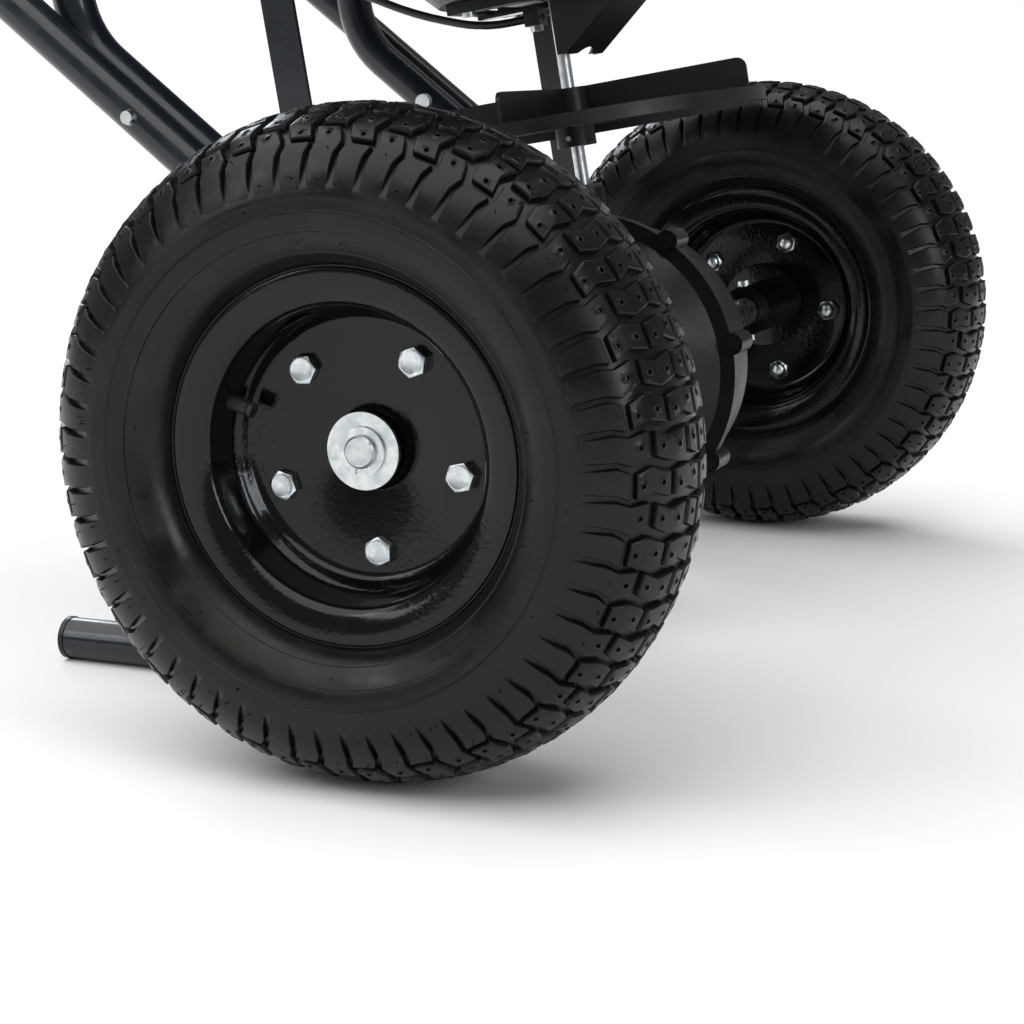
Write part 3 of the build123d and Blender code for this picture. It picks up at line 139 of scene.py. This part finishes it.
# ---------------------------------------------------------------- materials
class Nodes:
    """A short way to write one material's node tree."""

    def __init__(self, name):
        self.material = bpy.data.materials.new(name)
        self.material.use_nodes = True
        self.tree = self.material.node_tree
        self.tree.nodes.clear()
        self.shader = self.tree.nodes.new("ShaderNodeBsdfPrincipled")
        output = self.tree.nodes.new("ShaderNodeOutputMaterial")
        self.tree.links.new(self.shader.outputs[0], output.inputs[0])
        self.where = self.tree.nodes.new("ShaderNodeTexCoord").outputs["Object"]

    def put(self, value, socket):
        if isinstance(value, bpy.types.NodeSocket):
            self.tree.links.new(value, socket)
        else:
            socket.default_value = value

    def math(self, operation, a, b=0.0, clamp=False):
        node = self.tree.nodes.new("ShaderNodeMath")
        node.operation = operation
        node.use_clamp = clamp
        self.put(a, node.inputs[0])
        self.put(b, node.inputs[1])
        return node.outputs[0]

    def noise(self, scale, detail=3.0, rough=0.55, distortion=0.0, stretch=(1, 1, 1)):
        mapping = self.tree.nodes.new("ShaderNodeMapping")
        mapping.inputs["Scale"].default_value = stretch
        self.tree.links.new(self.where, mapping.inputs["Vector"])
        node = self.tree.nodes.new("ShaderNodeTexNoise")
        node.inputs["Scale"].default_value = scale
        node.inputs["Detail"].default_value = detail
        node.inputs["Roughness"].default_value = rough
        node.inputs["Distortion"].default_value = distortion
        self.tree.links.new(mapping.outputs[0], node.inputs["Vector"])
        return node.outputs["Fac"]

    def cells(self, scale, feature="F1"):
        node = self.tree.nodes.new("ShaderNodeTexVoronoi")
        node.feature = feature
        node.inputs["Scale"].default_value = scale
        self.tree.links.new(self.where, node.inputs["Vector"])
        return node.outputs["Distance"]

    def span(self, value, low, high, to_low=0.0, to_high=1.0):
        node = self.tree.nodes.new("ShaderNodeMapRange")
        node.interpolation_type = "SMOOTHSTEP"
        self.put(value, node.inputs["Value"])
        for name, number in (("From Min", low), ("From Max", high), ("To Min", to_low), ("To Max", to_high)):
            node.inputs[name].default_value = number
        return node.outputs["Result"]

    def mix(self, factor, a, b):
        node = self.tree.nodes.new("ShaderNodeMix")
        node.data_type = "RGBA"
        self.put(factor, node.inputs[0])
        self.put(a, node.inputs[6])
        self.put(b, node.inputs[7])
        return node.outputs[2]

    def axle_radius(self):
        """Distance of the point from the wheels' axis, in metres."""
        split = self.tree.nodes.new("ShaderNodeSeparateXYZ")
        self.tree.links.new(self.where, split.inputs[0])
        forward = self.math("SUBTRACT", split.outputs[1], axle_y)
        up = self.math("SUBTRACT", split.outputs[2], axle_z)
        square = self.math("ADD", self.math("MULTIPLY", forward, forward), self.math("MULTIPLY", up, up))
        return self.math("SQRT", square)

    def bump(self, height, strength, distance, before=None):
        node = self.tree.nodes.new("ShaderNodeBump")
        node.inputs["Strength"].default_value = strength
        node.inputs["Distance"].default_value = distance
        self.put(height, node.inputs["Height"])
        if before is not None:
            self.tree.links.new(before, node.inputs["Normal"])
        return node.outputs[0]

    def finish(self, colour, roughness, normal=None, **constants):
        self.put(colour, self.shader.inputs["Base Color"])
        self.put(roughness, self.shader.inputs["Roughness"])
        if normal is not None:
            self.tree.links.new(normal, self.shader.inputs["Normal"])
        for name, value in constants.items():
            self.shader.inputs[name.replace("_", " ")].default_value = value
        return self.material


def grey(value, blue=0.0):
    return (value, value, value + blue, 1.0)


def tyre_rubber():
    n = Nodes("tyre_rubber")
    radius = n.axle_radius()
    band = n.math("MULTIPLY", n.span(radius, 0.094, 0.100), n.span(radius, 0.110, 0.107))
    upper = n.math("MULTIPLY", n.span(radius, 0.117, 0.121), n.span(radius, 0.131, 0.126))
    patches = n.span(n.noise(22, 5, 0.6), 0.42, 0.62)
    dust = n.math("MULTIPLY", n.math("ADD", band, n.math("MULTIPLY", upper, 0.45)), patches)
    clean = n.mix(n.noise(60, 4), grey(0.0030, 0.0004), grey(0.0062, 0.0008))
    colour = n.mix(n.math("MULTIPLY", dust, 0.55), clean, (0.020, 0.0165, 0.011, 1))
    grain = n.bump(n.noise(1900, 2), 0.18, 0.0002)
    scuffed = n.bump(n.noise(160, 4, 0.65), 0.30, 0.0004, grain)
    roughness = n.math("ADD", n.span(n.noise(45, 4), 0.3, 0.7, 0.22, 0.38), n.math("MULTIPLY", dust, 0.2))
    return n.finish(colour, roughness, scuffed, Specular_IOR_Level=0.25)


def painted(name, colour, darker, peel_scale, peel, roughness, coat, specular):
    """Sprayed or powder-coated gloss: faint orange peel that comes and goes, and fine dust."""
    n = Nodes(name)
    patches = n.span(n.noise(17, 2), 0.45, 0.62, 0.25, 1.0)
    skin = n.math("MULTIPLY", n.noise(peel_scale, 2, 0.5), patches)
    specks = n.span(n.cells(420), 0.10, 0.02)
    shade = n.mix(n.noise(30, 4), colour, darker)
    shade = n.mix(n.math("MULTIPLY", specks, 0.10), shade, grey(0.04))
    rough = n.span(n.noise(70, 4), 0.3, 0.7, roughness, roughness * 1.7)
    normal = n.bump(skin, peel, 0.0006)
    gloss = {"Specular_IOR_Level": specular, "Coat_Weight": coat, "Coat_Roughness": 0.06}
    return n.finish(shade, rough, normal, **gloss)


def plated(name, colour, tint, roughness):
    """Zinc plate: bright metal with a cloudy, slightly coloured passivation and fine marks."""
    n = Nodes(name)
    clouds = n.span(n.noise(130, 5, 0.6), 0.35, 0.68)
    shade = n.mix(clouds, colour, tint)
    marks = n.noise(900, 3, 0.6, stretch=(1, 1, 0.12))
    rough = n.span(n.noise(260, 4), 0.3, 0.7, roughness, roughness + 0.16)
    normal = n.bump(marks, 0.12, 0.00015, n.bump(n.noise(90, 3), 0.10, 0.0005))
    return n.finish(shade, rough, normal, Metallic=1.0)


def moulded(name, colour, lighter, roughness, grain_scale, grain, specular=0.5):
    """Moulded plastic: fine spark-eroded grain, faint flow clouds and rubbed patches."""
    n = Nodes(name)
    shade = n.mix(n.span(n.noise(14, 5, 0.6, 0.4), 0.35, 0.7), colour, lighter)
    rough = n.span(n.noise(35, 4), 0.3, 0.7, roughness, roughness + 0.16)
    fine = n.bump(n.noise(grain_scale, 2), grain, 0.00025)
    wavy = n.bump(n.noise(24, 2), 0.08, 0.002, fine)
    return n.finish(shade, rough, wavy, Specular_IOR_Level=specular)


def foam(name):
    n = Nodes(name)
    pores = n.cells(900)
    # the colour follows the bump's pore map and is darker in the pores' hollows: painted shade in the pores
    shade = n.mix(n.span(pores, 0.1, 0.6), grey(0.006), grey(0.022, 0.001))
    return n.finish(shade, 0.86, n.bump(pores, 0.7, 0.0005), Specular_IOR_Level=0.25)


def jacket(name):
    n = Nodes(name)
    shade = n.mix(n.noise(80, 3), grey(0.010), grey(0.018))
    return n.finish(shade, n.span(n.noise(200, 3), 0.3, 0.7, 0.30, 0.45), n.bump(n.noise(700, 2), 0.1, 0.0002))


materials = {
    "tyre_rubber": tyre_rubber(),
    "tube_rubber": moulded("tube_rubber", grey(0.008), grey(0.016), 0.48, 1500, 0.2),
    "rim_paint": painted("rim_paint", grey(0.0022), grey(0.0040), 420, 0.55, 0.10, 0.22, 0.18),
    "frame_paint": painted("frame_paint", (0.006, 0.0085, 0.012, 1), (0.009, 0.012, 0.017, 1), 600, 0.12, 0.20, 0.25, 0.35),
    "zinc_plate": plated("zinc_plate", (0.66, 0.68, 0.67, 1), (0.50, 0.54, 0.56, 1), 0.22),
    "steel": plated("steel", (0.64, 0.65, 0.65, 1), (0.50, 0.51, 0.53, 1), 0.28),
    "case_plastic": moulded("case_plastic", grey(0.0035), grey(0.0065, 0.0006), 0.22, 1100, 0.10, 0.25),
    "hopper_plastic": moulded("hopper_plastic", grey(0.004), grey(0.008), 0.30, 900, 0.18, 0.35),
    "spreader_plastic": moulded("spreader_plastic", grey(0.0055), grey(0.0095, 0.0008), 0.34, 1000, 0.20, 0.35),
    "nylon": moulded("nylon", grey(0.030), grey(0.050), 0.42, 1300, 0.12),
    "lever_plastic": moulded("lever_plastic", grey(0.010), grey(0.018), 0.36, 1000, 0.25),
    "grip_foam": foam("grip_foam"),
    "cable_jacket": jacket("cable_jacket"),
}
for node_name, node in nodes.items():
    node.data.materials.clear()
    node.data.materials.append(materials[slot_of[node_name]])

# ---------------------------------------------------------------- tyre section
tyre_low, tyre_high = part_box("right_tyre")
CROWN_RADIUS = (tyre_high.z - tyre_low.z) / 2 / MM
HALF_WIDTH = (tyre_high.x - tyre_low.x) / 2 / MM
CROWN_EDGE = (25.5, CROWN_RADIUS - 5.0)
SHOULDER_MIDDLE = (44.6, CROWN_RADIUS - 18.5)
WIDEST = (HALF_WIDTH, 120.0)
SIDEWALL_MIDDLE = (50.6, 104.5)
BEAD_TOP = (33.3, 90.6)


def arc_through(a, b, c, steps):
    """Points on the circle through a, b and c, from a to c."""
    ax, ay, bx, by, cx, cy = *a, *b, *c
    d = 2 * (ax * (by - cy) + bx * (cy - ay) + cx * (ay - by))
    a2, b2, c2 = ax * ax + ay * ay, bx * bx + by * by, cx * cx + cy * cy
    x = (a2 * (by - cy) + b2 * (cy - ay) + c2 * (ay - by)) / d
    y = (a2 * (cx - bx) + b2 * (ax - cx) + c2 * (bx - ax)) / d
    start, end = math.atan2(ay - y, ax - x), math.atan2(cy - y, cx - x)
    end -= 2 * math.pi * round((end - start) / (2 * math.pi))
    radius = math.hypot(ax - x, ay - y)
    turns = [start + (end - start) * k / steps for k in range(steps + 1)]
    return [(x + radius * math.cos(t), y + radius * math.sin(t)) for t in turns]


half_section = arc_through((-CROWN_EDGE[0], CROWN_EDGE[1]), (0, CROWN_RADIUS), CROWN_EDGE, 80)[40:]
half_section += arc_through(CROWN_EDGE, SHOULDER_MIDDLE, WIDEST, 60)[1:]
half_section += arc_through(WIDEST, SIDEWALL_MIDDLE, BEAD_TOP, 50)[1:]
section = np.array(half_section)
section_along = np.r_[0, np.cumsum(np.hypot(*np.diff(section, axis=0).T))]


def skin(along):
    """Point (across, radius) and outward normal of the tyre's outer skin, that far from the crown."""
    at = np.array([np.interp(along, section_along, section[:, i]) for i in (0, 1)])
    ahead = np.array([np.interp(along + 0.6, section_along, section[:, i]) for i in (0, 1)])
    behind = np.array([np.interp(along - 0.6, section_along, section[:, i]) for i in (0, 1)])
    if along < 0.6:
        behind = at * (1, 1) - (ahead - at) * (1, -1)
    way = (ahead - behind) / np.hypot(*(ahead - behind))
    return at, np.array([-way[1], way[0]])


# ---------------------------------------------------------------- tread pattern
PITCH = 6.0
COLUMNS = 60
TREAD_DEPTH = 3.3
LUG_FOOT = 70.5
RAMP_START = 57.0
MM_PER_DEGREE = math.radians(1) * 160.0
EDGE_SEGMENTS = 6
DIMPLE_RADIUS = 1.25
DIMPLE_DEPTH = 1.5
# the groove's middle line to the right of each column: (along, degrees)
GROOVE_LINE = [(0, 2.5), (12, 3.35), (24.3, 2.42), (36, 3.6), (47.5, 2.6), (54, 3.47), (LUG_FOOT + 2, 3.47)]
# blocks as (left side, right side), each a list of (degrees, along) from the crown outwards
SHORT_COLUMN = [
    ([(-2.6, 1.9), (-1.35, 12.2), (-2.45, 21.8)], [(1.75, 1.9), (2.3, 12.2), (1.6, 21.8)]),
    ([(-2.5, 25.6), (-1.5, 36.2), (-2.6, 45.0)], [(1.7, 25.6), (2.8, 36.2), (1.75, 45.0)]),
    ([(-2.7, 48.4), (-1.9, 54.0), (-1.8, 62.0), (-1.8, LUG_FOOT)],
     [(1.95, 48.4), (2.85, 54.0), (2.75, 62.0), (2.75, LUG_FOOT)]),
]
LONG_COLUMN = [
    ([(-2.7, 1.9), (-1.75, 9.6)], [(1.95, 1.9), (2.3, 9.6)]),
    ([(-1.8, 13.4), (-2.75, 24.3), (-1.6, 33.8)], [(2.3, 13.4), (1.4, 24.3), (2.45, 33.8)]),
    ([(-1.5, 38.4), (-2.8, 47.5), (-1.9, 54.0), (-1.8, 62.0), (-1.8, LUG_FOOT)],
     [(2.85, 38.4), (2.1, 47.5), (2.8, 54.0), (2.75, 62.0), (2.75, LUG_FOOT)]),
]
SHORT_DIMPLES = [(0.4, 6.6), (-0.6, 18.6), (0.0, 30.8), (-0.3, 42.2)]
LONG_DIMPLES = [(0.1, 5.6), (-0.3, 18.6), (0.0, 30.2), (0.2, 42.8)]


def outline(block):
    left, right = block
    ring = list(left) + list(reversed(right))
    return np.array([(u * MM_PER_DEGREE, v) for u, v in ring])


def rounded(ring, cut):
    """The ring with each corner cut by a small facet pair, so that block corners look moulded."""
    made = []
    for k, here in enumerate(ring):
        before, after = ring[k - 1], ring[(k + 1) % len(ring)]
        to_before, to_after = before - here, after - here
        first = here + to_before / np.hypot(*to_before) * cut
        last = here + to_after / np.hypot(*to_after) * cut
        made += [first, (first + last + 1.4 * here) / 3.4, last]
    return np.array(made)


def grown(ring, amount):
    """The ring moved outwards by that much, mitred at its corners."""
    area = 0.5 * sum(np.cross(ring[k - 1], ring[k]) for k in range(len(ring)))
    made = []
    for k, here in enumerate(ring):
        way_in = here - ring[k - 1]
        way_out = ring[(k + 1) % len(ring)] - here
        way_in, way_out = way_in / np.hypot(*way_in), way_out / np.hypot(*way_out)
        normal = np.array([way_in[1] + way_out[1], -way_in[0] - way_out[0]]) * math.copysign(1, area)
        normal /= np.hypot(*normal)
        lean = max(0.5, abs(normal @ np.array([way_in[1], -way_in[0]])))
        made.append(here + normal * amount / lean)
    return np.array(made)


def inside(ring, point):
    x, y = point
    hit = False
    for (x1, y1), (x2, y2) in zip(ring, np.roll(ring, -1, axis=0)):
        if (y1 > y) != (y2 > y) and x < (x2 - x1) * (y - y1) / (y2 - y1) + x1:
            hit = not hit
    return hit


def floor_height(along):
    ramp = min(1.0, max(0.0, (LUG_FOOT - along) / (LUG_FOOT - RAMP_START)))
    return -TREAD_DEPTH * ramp ** 0.7


def groove_at(along):
    ys, xs = zip(*GROOVE_LINE)
    return float(np.interp(along, ys, xs)) * MM_PER_DEGREE


def tread_column(blocks, dimples):
    """One column of the tread, flat: (around in mm, along in mm, height in mm) and triangles."""
    width = PITCH * MM_PER_DEGREE
    foot = GROOVE_LINE[-1][0]
    alongs = np.linspace(0, foot, 37)
    rim = [(groove_at(v), v) for v in alongs]
    rim += [(groove_at(foot) - width * k / EDGE_SEGMENTS, foot) for k in range(1, EDGE_SEGMENTS)]
    rim += [(groove_at(v) - width, v) for v in alongs[::-1]]
    rim += [(groove_at(0) - width + width * k / EDGE_SEGMENTS, 0) for k in range(1, EDGE_SEGMENTS)]
    points, heights, edges = [], [], []

    def add_ring(ring, height):
        first = len(points)
        for k, point in enumerate(ring):
            points.append(Vector(point))
            heights.append(height(point[1]) if callable(height) else height)
            edges.append((first + k, first + (k + 1) % len(ring)))

    def rim_height(along):
        return floor_height(along) if along < LUG_FOOT else 0.0

    add_ring(rim, rim_height)
    tops, bases = [], []
    for block in blocks:
        ring = rounded(outline(block), 0.75)
        bases.append(grown(ring, 0.62))
        tops.append(grown(ring, -0.3))
        add_ring(bases[-1], floor_height)
        add_ring(grown(ring, 0.1), lambda along: max(floor_height(along), -0.45))
        add_ring(tops[-1], lambda along: 0.0)
    circle = [(math.cos(t), math.sin(t)) for t in np.linspace(0, 2 * math.pi, 11)[:-1]]
    for u, v in dimples:
        centre = np.array([u * MM_PER_DEGREE, v])
        for size, height in ((1.45, 0.0), (1.2, 0.22), (1.0, 0.12), (0.72, -DIMPLE_DEPTH)):
            add_ring([centre + np.array(c) * DIMPLE_RADIUS * size for c in circle], height)
    for v in np.arange(1.2, foot - 0.8, 2.4):
        for u in np.arange(groove_at(v) - width + 1.2, groove_at(v) - 1.0, 2.4):
            point = np.array([u, v])
            near = any(np.hypot(*(np.array((a * MM_PER_DEGREE, b)) - point)) < 2.2 for a, b in dimples)
            on_top = any(inside(grown(ring, -0.5), point) for ring in tops)
            clear = not any(inside(grown(ring, 0.5), point) for ring in bases)
            if (on_top or clear) and not near:
                points.append(Vector(point))
                heights.append(0.0 if on_top else floor_height(v))
    flat, _, triangles, origins, _, _ = delaunay_2d_cdt(points, edges, [], 0, 1e-5)
    kept = []
    for triangle in triangles:
        u, v = sum((flat[i] for i in triangle), Vector((0, 0))) / 3
        if groove_at(v) - width - 1e-6 <= u <= groove_at(v) + 1e-6:
            kept.append(triangle)
    made = [(p.x, p.y, heights[min(o)] if o else floor_height(p.y)) for p, o in zip(flat, origins)]
    return made, kept


def build_tyre(side):
    wheel = wheels[side]
    chance = random.Random(7 if side == "right" else 11)
    verts, faces = [], []

    def add(x_side, across, radius, degrees):
        verts.append(on_axle(wheel["x"] + x_side * across * MM, radius * MM, degrees))

    columns = [tread_column(SHORT_COLUMN, SHORT_DIMPLES), tread_column(LONG_COLUMN, LONG_DIMPLES)]
    for x_side in (-1, 1):
        for index in range(COLUMNS):
            flat, triangles = columns[index % 2]
            first = len(verts)
            for u, v, height in flat:
                at, normal = skin(v)
                at = at + normal * height
                add(x_side, at[0], at[1], index * PITCH + u / MM_PER_DEGREE)
            faces += [[first + i for i in t] for t in triangles]
    # sidewalls, beads and the cavity, as rings that share the tread's foot
    foot = GROOVE_LINE[-1][0]
    around = COLUMNS * EDGE_SEGMENTS
    turn = GROOVE_LINE[-1][1]
    marks = {"line": 81.5, "step": 91.0, "lower": 103.5}
    whole = section_along[-1]
    alongs = sorted(
        list(np.arange(foot, whole, 1.6))
        + [marks["line"] + d for d in (-0.5, -0.15, 0.15, 0.5)]
        + [marks["step"] + d for d in (-0.5, 0.0, 0.5)]
        + [marks["lower"] + d for d in (-0.6, 0.0, 0.6)]
    )
    alongs = [a for k, a in enumerate(alongs) if k == 0 or a - alongs[k - 1] > 0.05]

    def relief(along):
        if along < foot + 0.1:
            return 0.0
        if abs(along - foot - 0.8) < 0.9:
            return 0.25
        if abs(along - marks["line"]) < 0.3:
            return 0.5
        if marks["step"] < along < marks["lower"]:
            return -0.55
        return 0.0

    inner = [(30.6, 77.1), (25.0, 77.1), (25.0, 92.0), (45.5, 110.0), (45.5, 132.0), (34.0, 149.5), (0.0, 152.0)]
    for x_side in (-1, 1):
        rings = []
        for along in alongs:
            at, normal = skin(along)
            rings.append(at + normal * relief(along))
        rings += [np.array(p) for p in ((BEAD_TOP[0], 80.0), *inner)]
        first = len(verts)
        for k in range(around):
            for across, radius in rings:
                add(x_side, across, radius, turn + k * PITCH / EDGE_SEGMENTS)
        count = len(rings)
        for k in range(around):
            here, there = first + k * count, first + (k + 1) % around * count
            faces += [[here + i, there + i, there + i + 1, here + i + 1] for i in range(count - 1)]
    # rubber hairs left by the mould's vents
    for k in range(150):
        x_side = chance.choice((-1, 1))
        along = chance.choice((50.5, 51.5, 66.0, 67.0, 77.0, 96.5)) + chance.uniform(-0.5, 0.5)
        degrees = chance.randrange(COLUMNS) * PITCH + chance.uniform(-0.8, 1.6)
        at, normal = skin(along)
        length, thick = chance.uniform(0.7, 2.6), chance.uniform(0.28, 0.42)
        lean = chance.uniform(-0.5, 0.5)
        first = len(verts)
        for step, size in ((-0.6, 1.3), (0.25, 1.0), (1.0, 0.55)):
            for t in range(5):
                angle = 2 * math.pi * t / 5
                spot = at + normal * (length * step)
                shift = (thick * size * math.cos(angle) + lean * max(step, 0)) / MM_PER_DEGREE
                across = spot[0] + thick * size * math.sin(angle) * normal[1]
                radius = spot[1] - thick * size * math.sin(angle) * normal[0]
                add(x_side, across, radius, degrees + shift)
        for row in range(2):
            for t in range(5):
                a, b = first + row * 5 + t, first + row * 5 + (t + 1) % 5
                faces.append([a, b, b + 5, a + 5])
        faces.append([first + 10 + t for t in range(5)])
    piece = mesh_object(f"{side}_tyre_tread", verts, faces, 40)
    return place(piece, wheel["body"], "tyre_rubber", f"{side}_tyre")


for side in wheels:
    build_tyre(side)


# ---------------------------------------------------------------- hexagon heads and dome nuts
def hex_piece(name, side, centre_x, facing, height, dome):
    """Five hexagon heads on the bolt circle, chamfered where a real head is, with a dome or a dished top."""
    wheel = wheels[side]
    flats, corner_ring, segments = 6.5, 6.15, 48
    verts, faces = [], []
    for k in range(5):
        turn = wheel["bolt_turn"] + 72 * k
        _, centre_y, centre_z = on_axle(0, 50 * MM, turn)
        twist = 17.0 * k + 9.0
        rows = []
        for i in range(segments):
            angle = 360.0 * i / segments
            wide = flats / math.cos(math.radians((angle + 30) % 60 - 30))
            drop = (wide - corner_ring) * math.tan(math.radians(28))
            row = [(wide - 0.25, 0.0), (wide, 0.3), (wide, height - drop), (corner_ring, height)]
            if dome:
                row += [(5.7 * math.cos(a), height + 4.2 * math.sin(a)) for a in np.linspace(0.12, 1.5, 8)]
            else:
                row += [(corner_ring - 0.5, height + 0.05), (4.9, height - 0.22), (0.4, height - 0.3)]
            rows.append([(r, x, math.radians(angle + twist)) for r, x in row])
        first = len(verts)
        count = len(rows[0])
        for row in rows:
            for r, x, angle in row:
                verts.append((
                    centre_x + facing * x * MM,
                    centre_y + r * MM * math.cos(angle),
                    centre_z + r * MM * math.sin(angle),
                ))
        for i in range(segments):
            here, there = first + i * count, first + (i + 1) % segments * count
            faces += [[here + j, there + j, there + j + 1, here + j + 1] for j in range(count - 1)]
        faces.append([first + i * count + count - 1 for i in range(segments)])
        faces.append([first + i * count for i in range(segments)])
    piece = mesh_object(name, verts, faces, 24)
    return place(piece, wheel["body"], "zinc_plate")


for side, wheel in wheels.items():
    facing = wheel["outboard"]
    bolt_low, bolt_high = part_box(f"{side}_wheel_bolts")
    nut_low, nut_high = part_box(f"{side}_wheel_nuts")
    head_face = bolt_high.x if facing > 0 else bolt_low.x
    nut_face = nut_high.x if facing > 0 else nut_low.x
    head = hex_piece(f"{side}_bolt_heads", side, head_face - facing * 5.3 * MM, facing, 5.0, False)
    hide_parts(f"{side}_wheel_bolts")
    nuts = hex_piece(f"{side}_dome_nuts", side, nut_face, -facing, 4.6, True)
    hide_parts(f"{side}_wheel_nuts")


# ---------------------------------------------------------------- rims
def rim_profile(depth):
    """One pressed half rim in mm, from the split: its outer face, rolled lip, and the face behind."""
    front = [(2.4, 18.4), (2.6, 18.9), (2.6, 60.5), (2.9, 62.3), (3.6, 63.9), (5.2, 65.4)]
    front += [(7.4, 66.8), (9.4, 68.6), (10.6, 70.0), (12.5, 70.7)]
    front += [(depth - 7.5, 71.6), (depth - 5.2, 72.4), (depth - 3.4, 74.2), (depth - 1.9, 77.2)]
    front += [(depth - 0.7, 81.5), (depth - 0.1, 86.0), (depth + 0.1, 88.6)]
    lip = [(depth - 0.3, 89.8), (depth - 1.3, 90.4), (depth - 2.3, 89.9), (depth - 2.6, 88.8)]
    back = [(depth - 2.7, 86.0), (depth - 3.0, 82.0), (depth - 4.2, 78.4), (depth - 6.2, 75.8)]
    back += [(depth - 8.2, 74.6), (12.0, 73.4), (9.4, 72.4), (7.4, 70.6), (5.2, 68.6), (2.6, 67.4)]
    back += [(0.8, 66.4), (0.0, 64.6), (0.0, 18.9), (0.2, 18.4)]
    return front + lip + back


for side, wheel in wheels.items():
    for half, direction in (("outer", 1), ("inner", -1)):
        low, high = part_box(f"{side}_rim_{half}")
        way = wheel["outboard"] * direction
        split_x = low.x if way > 0 else high.x
        depth = (high.x - low.x) / MM
        profile = [(split_x + way * x * MM, r * MM) for x, r in rim_profile(depth)]
        rim = mesh_object(f"{side}_rim_{half}_pressing", *lathe(profile, 160), 38)
        place(rim, wheel["body"], "rim_paint", f"{side}_rim_{half}")

# ---------------------------------------------------------------- floor, light and camera
floor_mesh = bpy.data.meshes.new("floor")
floor_mesh.from_pydata([(-30, -30, 0), (30, -30, 0), (30, 30, 0), (-30, 30, 0)], [], [(0, 1, 2, 3)])
floor = bpy.data.objects.new("floor", floor_mesh)
scene.collection.objects.link(floor)
ground = Nodes("pale_floor")
floor_mesh.materials.append(
    ground.finish(ground.mix(ground.noise(3, 2), grey(0.86), grey(0.90)), 0.9, Specular_IOR_Level=0.1)
)
floor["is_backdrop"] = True

ROOM_LIGHT = 0.22
CEILING_LIGHT = 3.3
BOX_COLOUR = (0.88, 0.94, 1.0)
world = bpy.data.worlds.new("studio")
world.use_nodes = True
scene.world = world
# the room is white to the camera and dimmer to everything else, so gloss black stays black
sky = world.node_tree.nodes["Background"]
sky.inputs["Color"].default_value = (1, 1, 1, 1)
ray = world.node_tree.nodes.new("ShaderNodeLightPath")
level = world.node_tree.nodes.new("ShaderNodeMapRange")
level.inputs["To Min"].default_value = ROOM_LIGHT
level.inputs["To Max"].default_value = 1.0
world.node_tree.links.new(ray.outputs["Is Camera Ray"], level.inputs["Value"])
world.node_tree.links.new(level.outputs["Result"], sky.inputs["Strength"])


def lamp(name, kind, energy, place_at, aim):
    data = bpy.data.lights.new(name, kind)
    data.energy = energy
    holder = bpy.data.objects.new(name, data)
    scene.collection.objects.link(holder)
    holder.location = place_at
    holder.rotation_euler = (Vector(aim) - Vector(place_at)).to_track_quat("-Z", "Y").to_euler()
    return data


def soft_box(name, energy, place_at, aim, width, height):
    data = lamp(name, "AREA", energy, place_at, aim)
    data.shape = "RECTANGLE"
    data.size, data.size_y = width, height
    data.color = BOX_COLOUR


ceiling = lamp("ceiling", "SUN", CEILING_LIGHT, (-0.6, 0.5, 3.0), (0, 0, 0))
ceiling.angle = math.radians(85)
soft_box("left_box", 14, (-2.4, 1.5, 1.5), (-0.2, -0.4, 0.2), 0.7, 1.5)
soft_box("front_box", 24, (-1.5, -3.2, 1.3), (0, -0.4, 0.2), 0.7, 1.5)
soft_box("back_box", 30, (2.4, 2.2, 2.0), (0, -0.4, 0.2), 0.9, 1.4)

lens = bpy.data.cameras.new("camera")
lens.lens = 78.82
lens.sensor_width = 36.0
lens.clip_start, lens.clip_end = 0.01, 100
camera = bpy.data.objects.new("camera", lens)
scene.collection.objects.link(camera)
camera.location = (-1.2904, -0.9297, 0.3540)
camera.rotation_euler = Vector((0.90366, 0.37711, -0.20294)).to_track_quat("-Z", "Y").to_euler()
scene.camera = camera
scene.view_settings.view_transform = "Standard"

low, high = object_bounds()
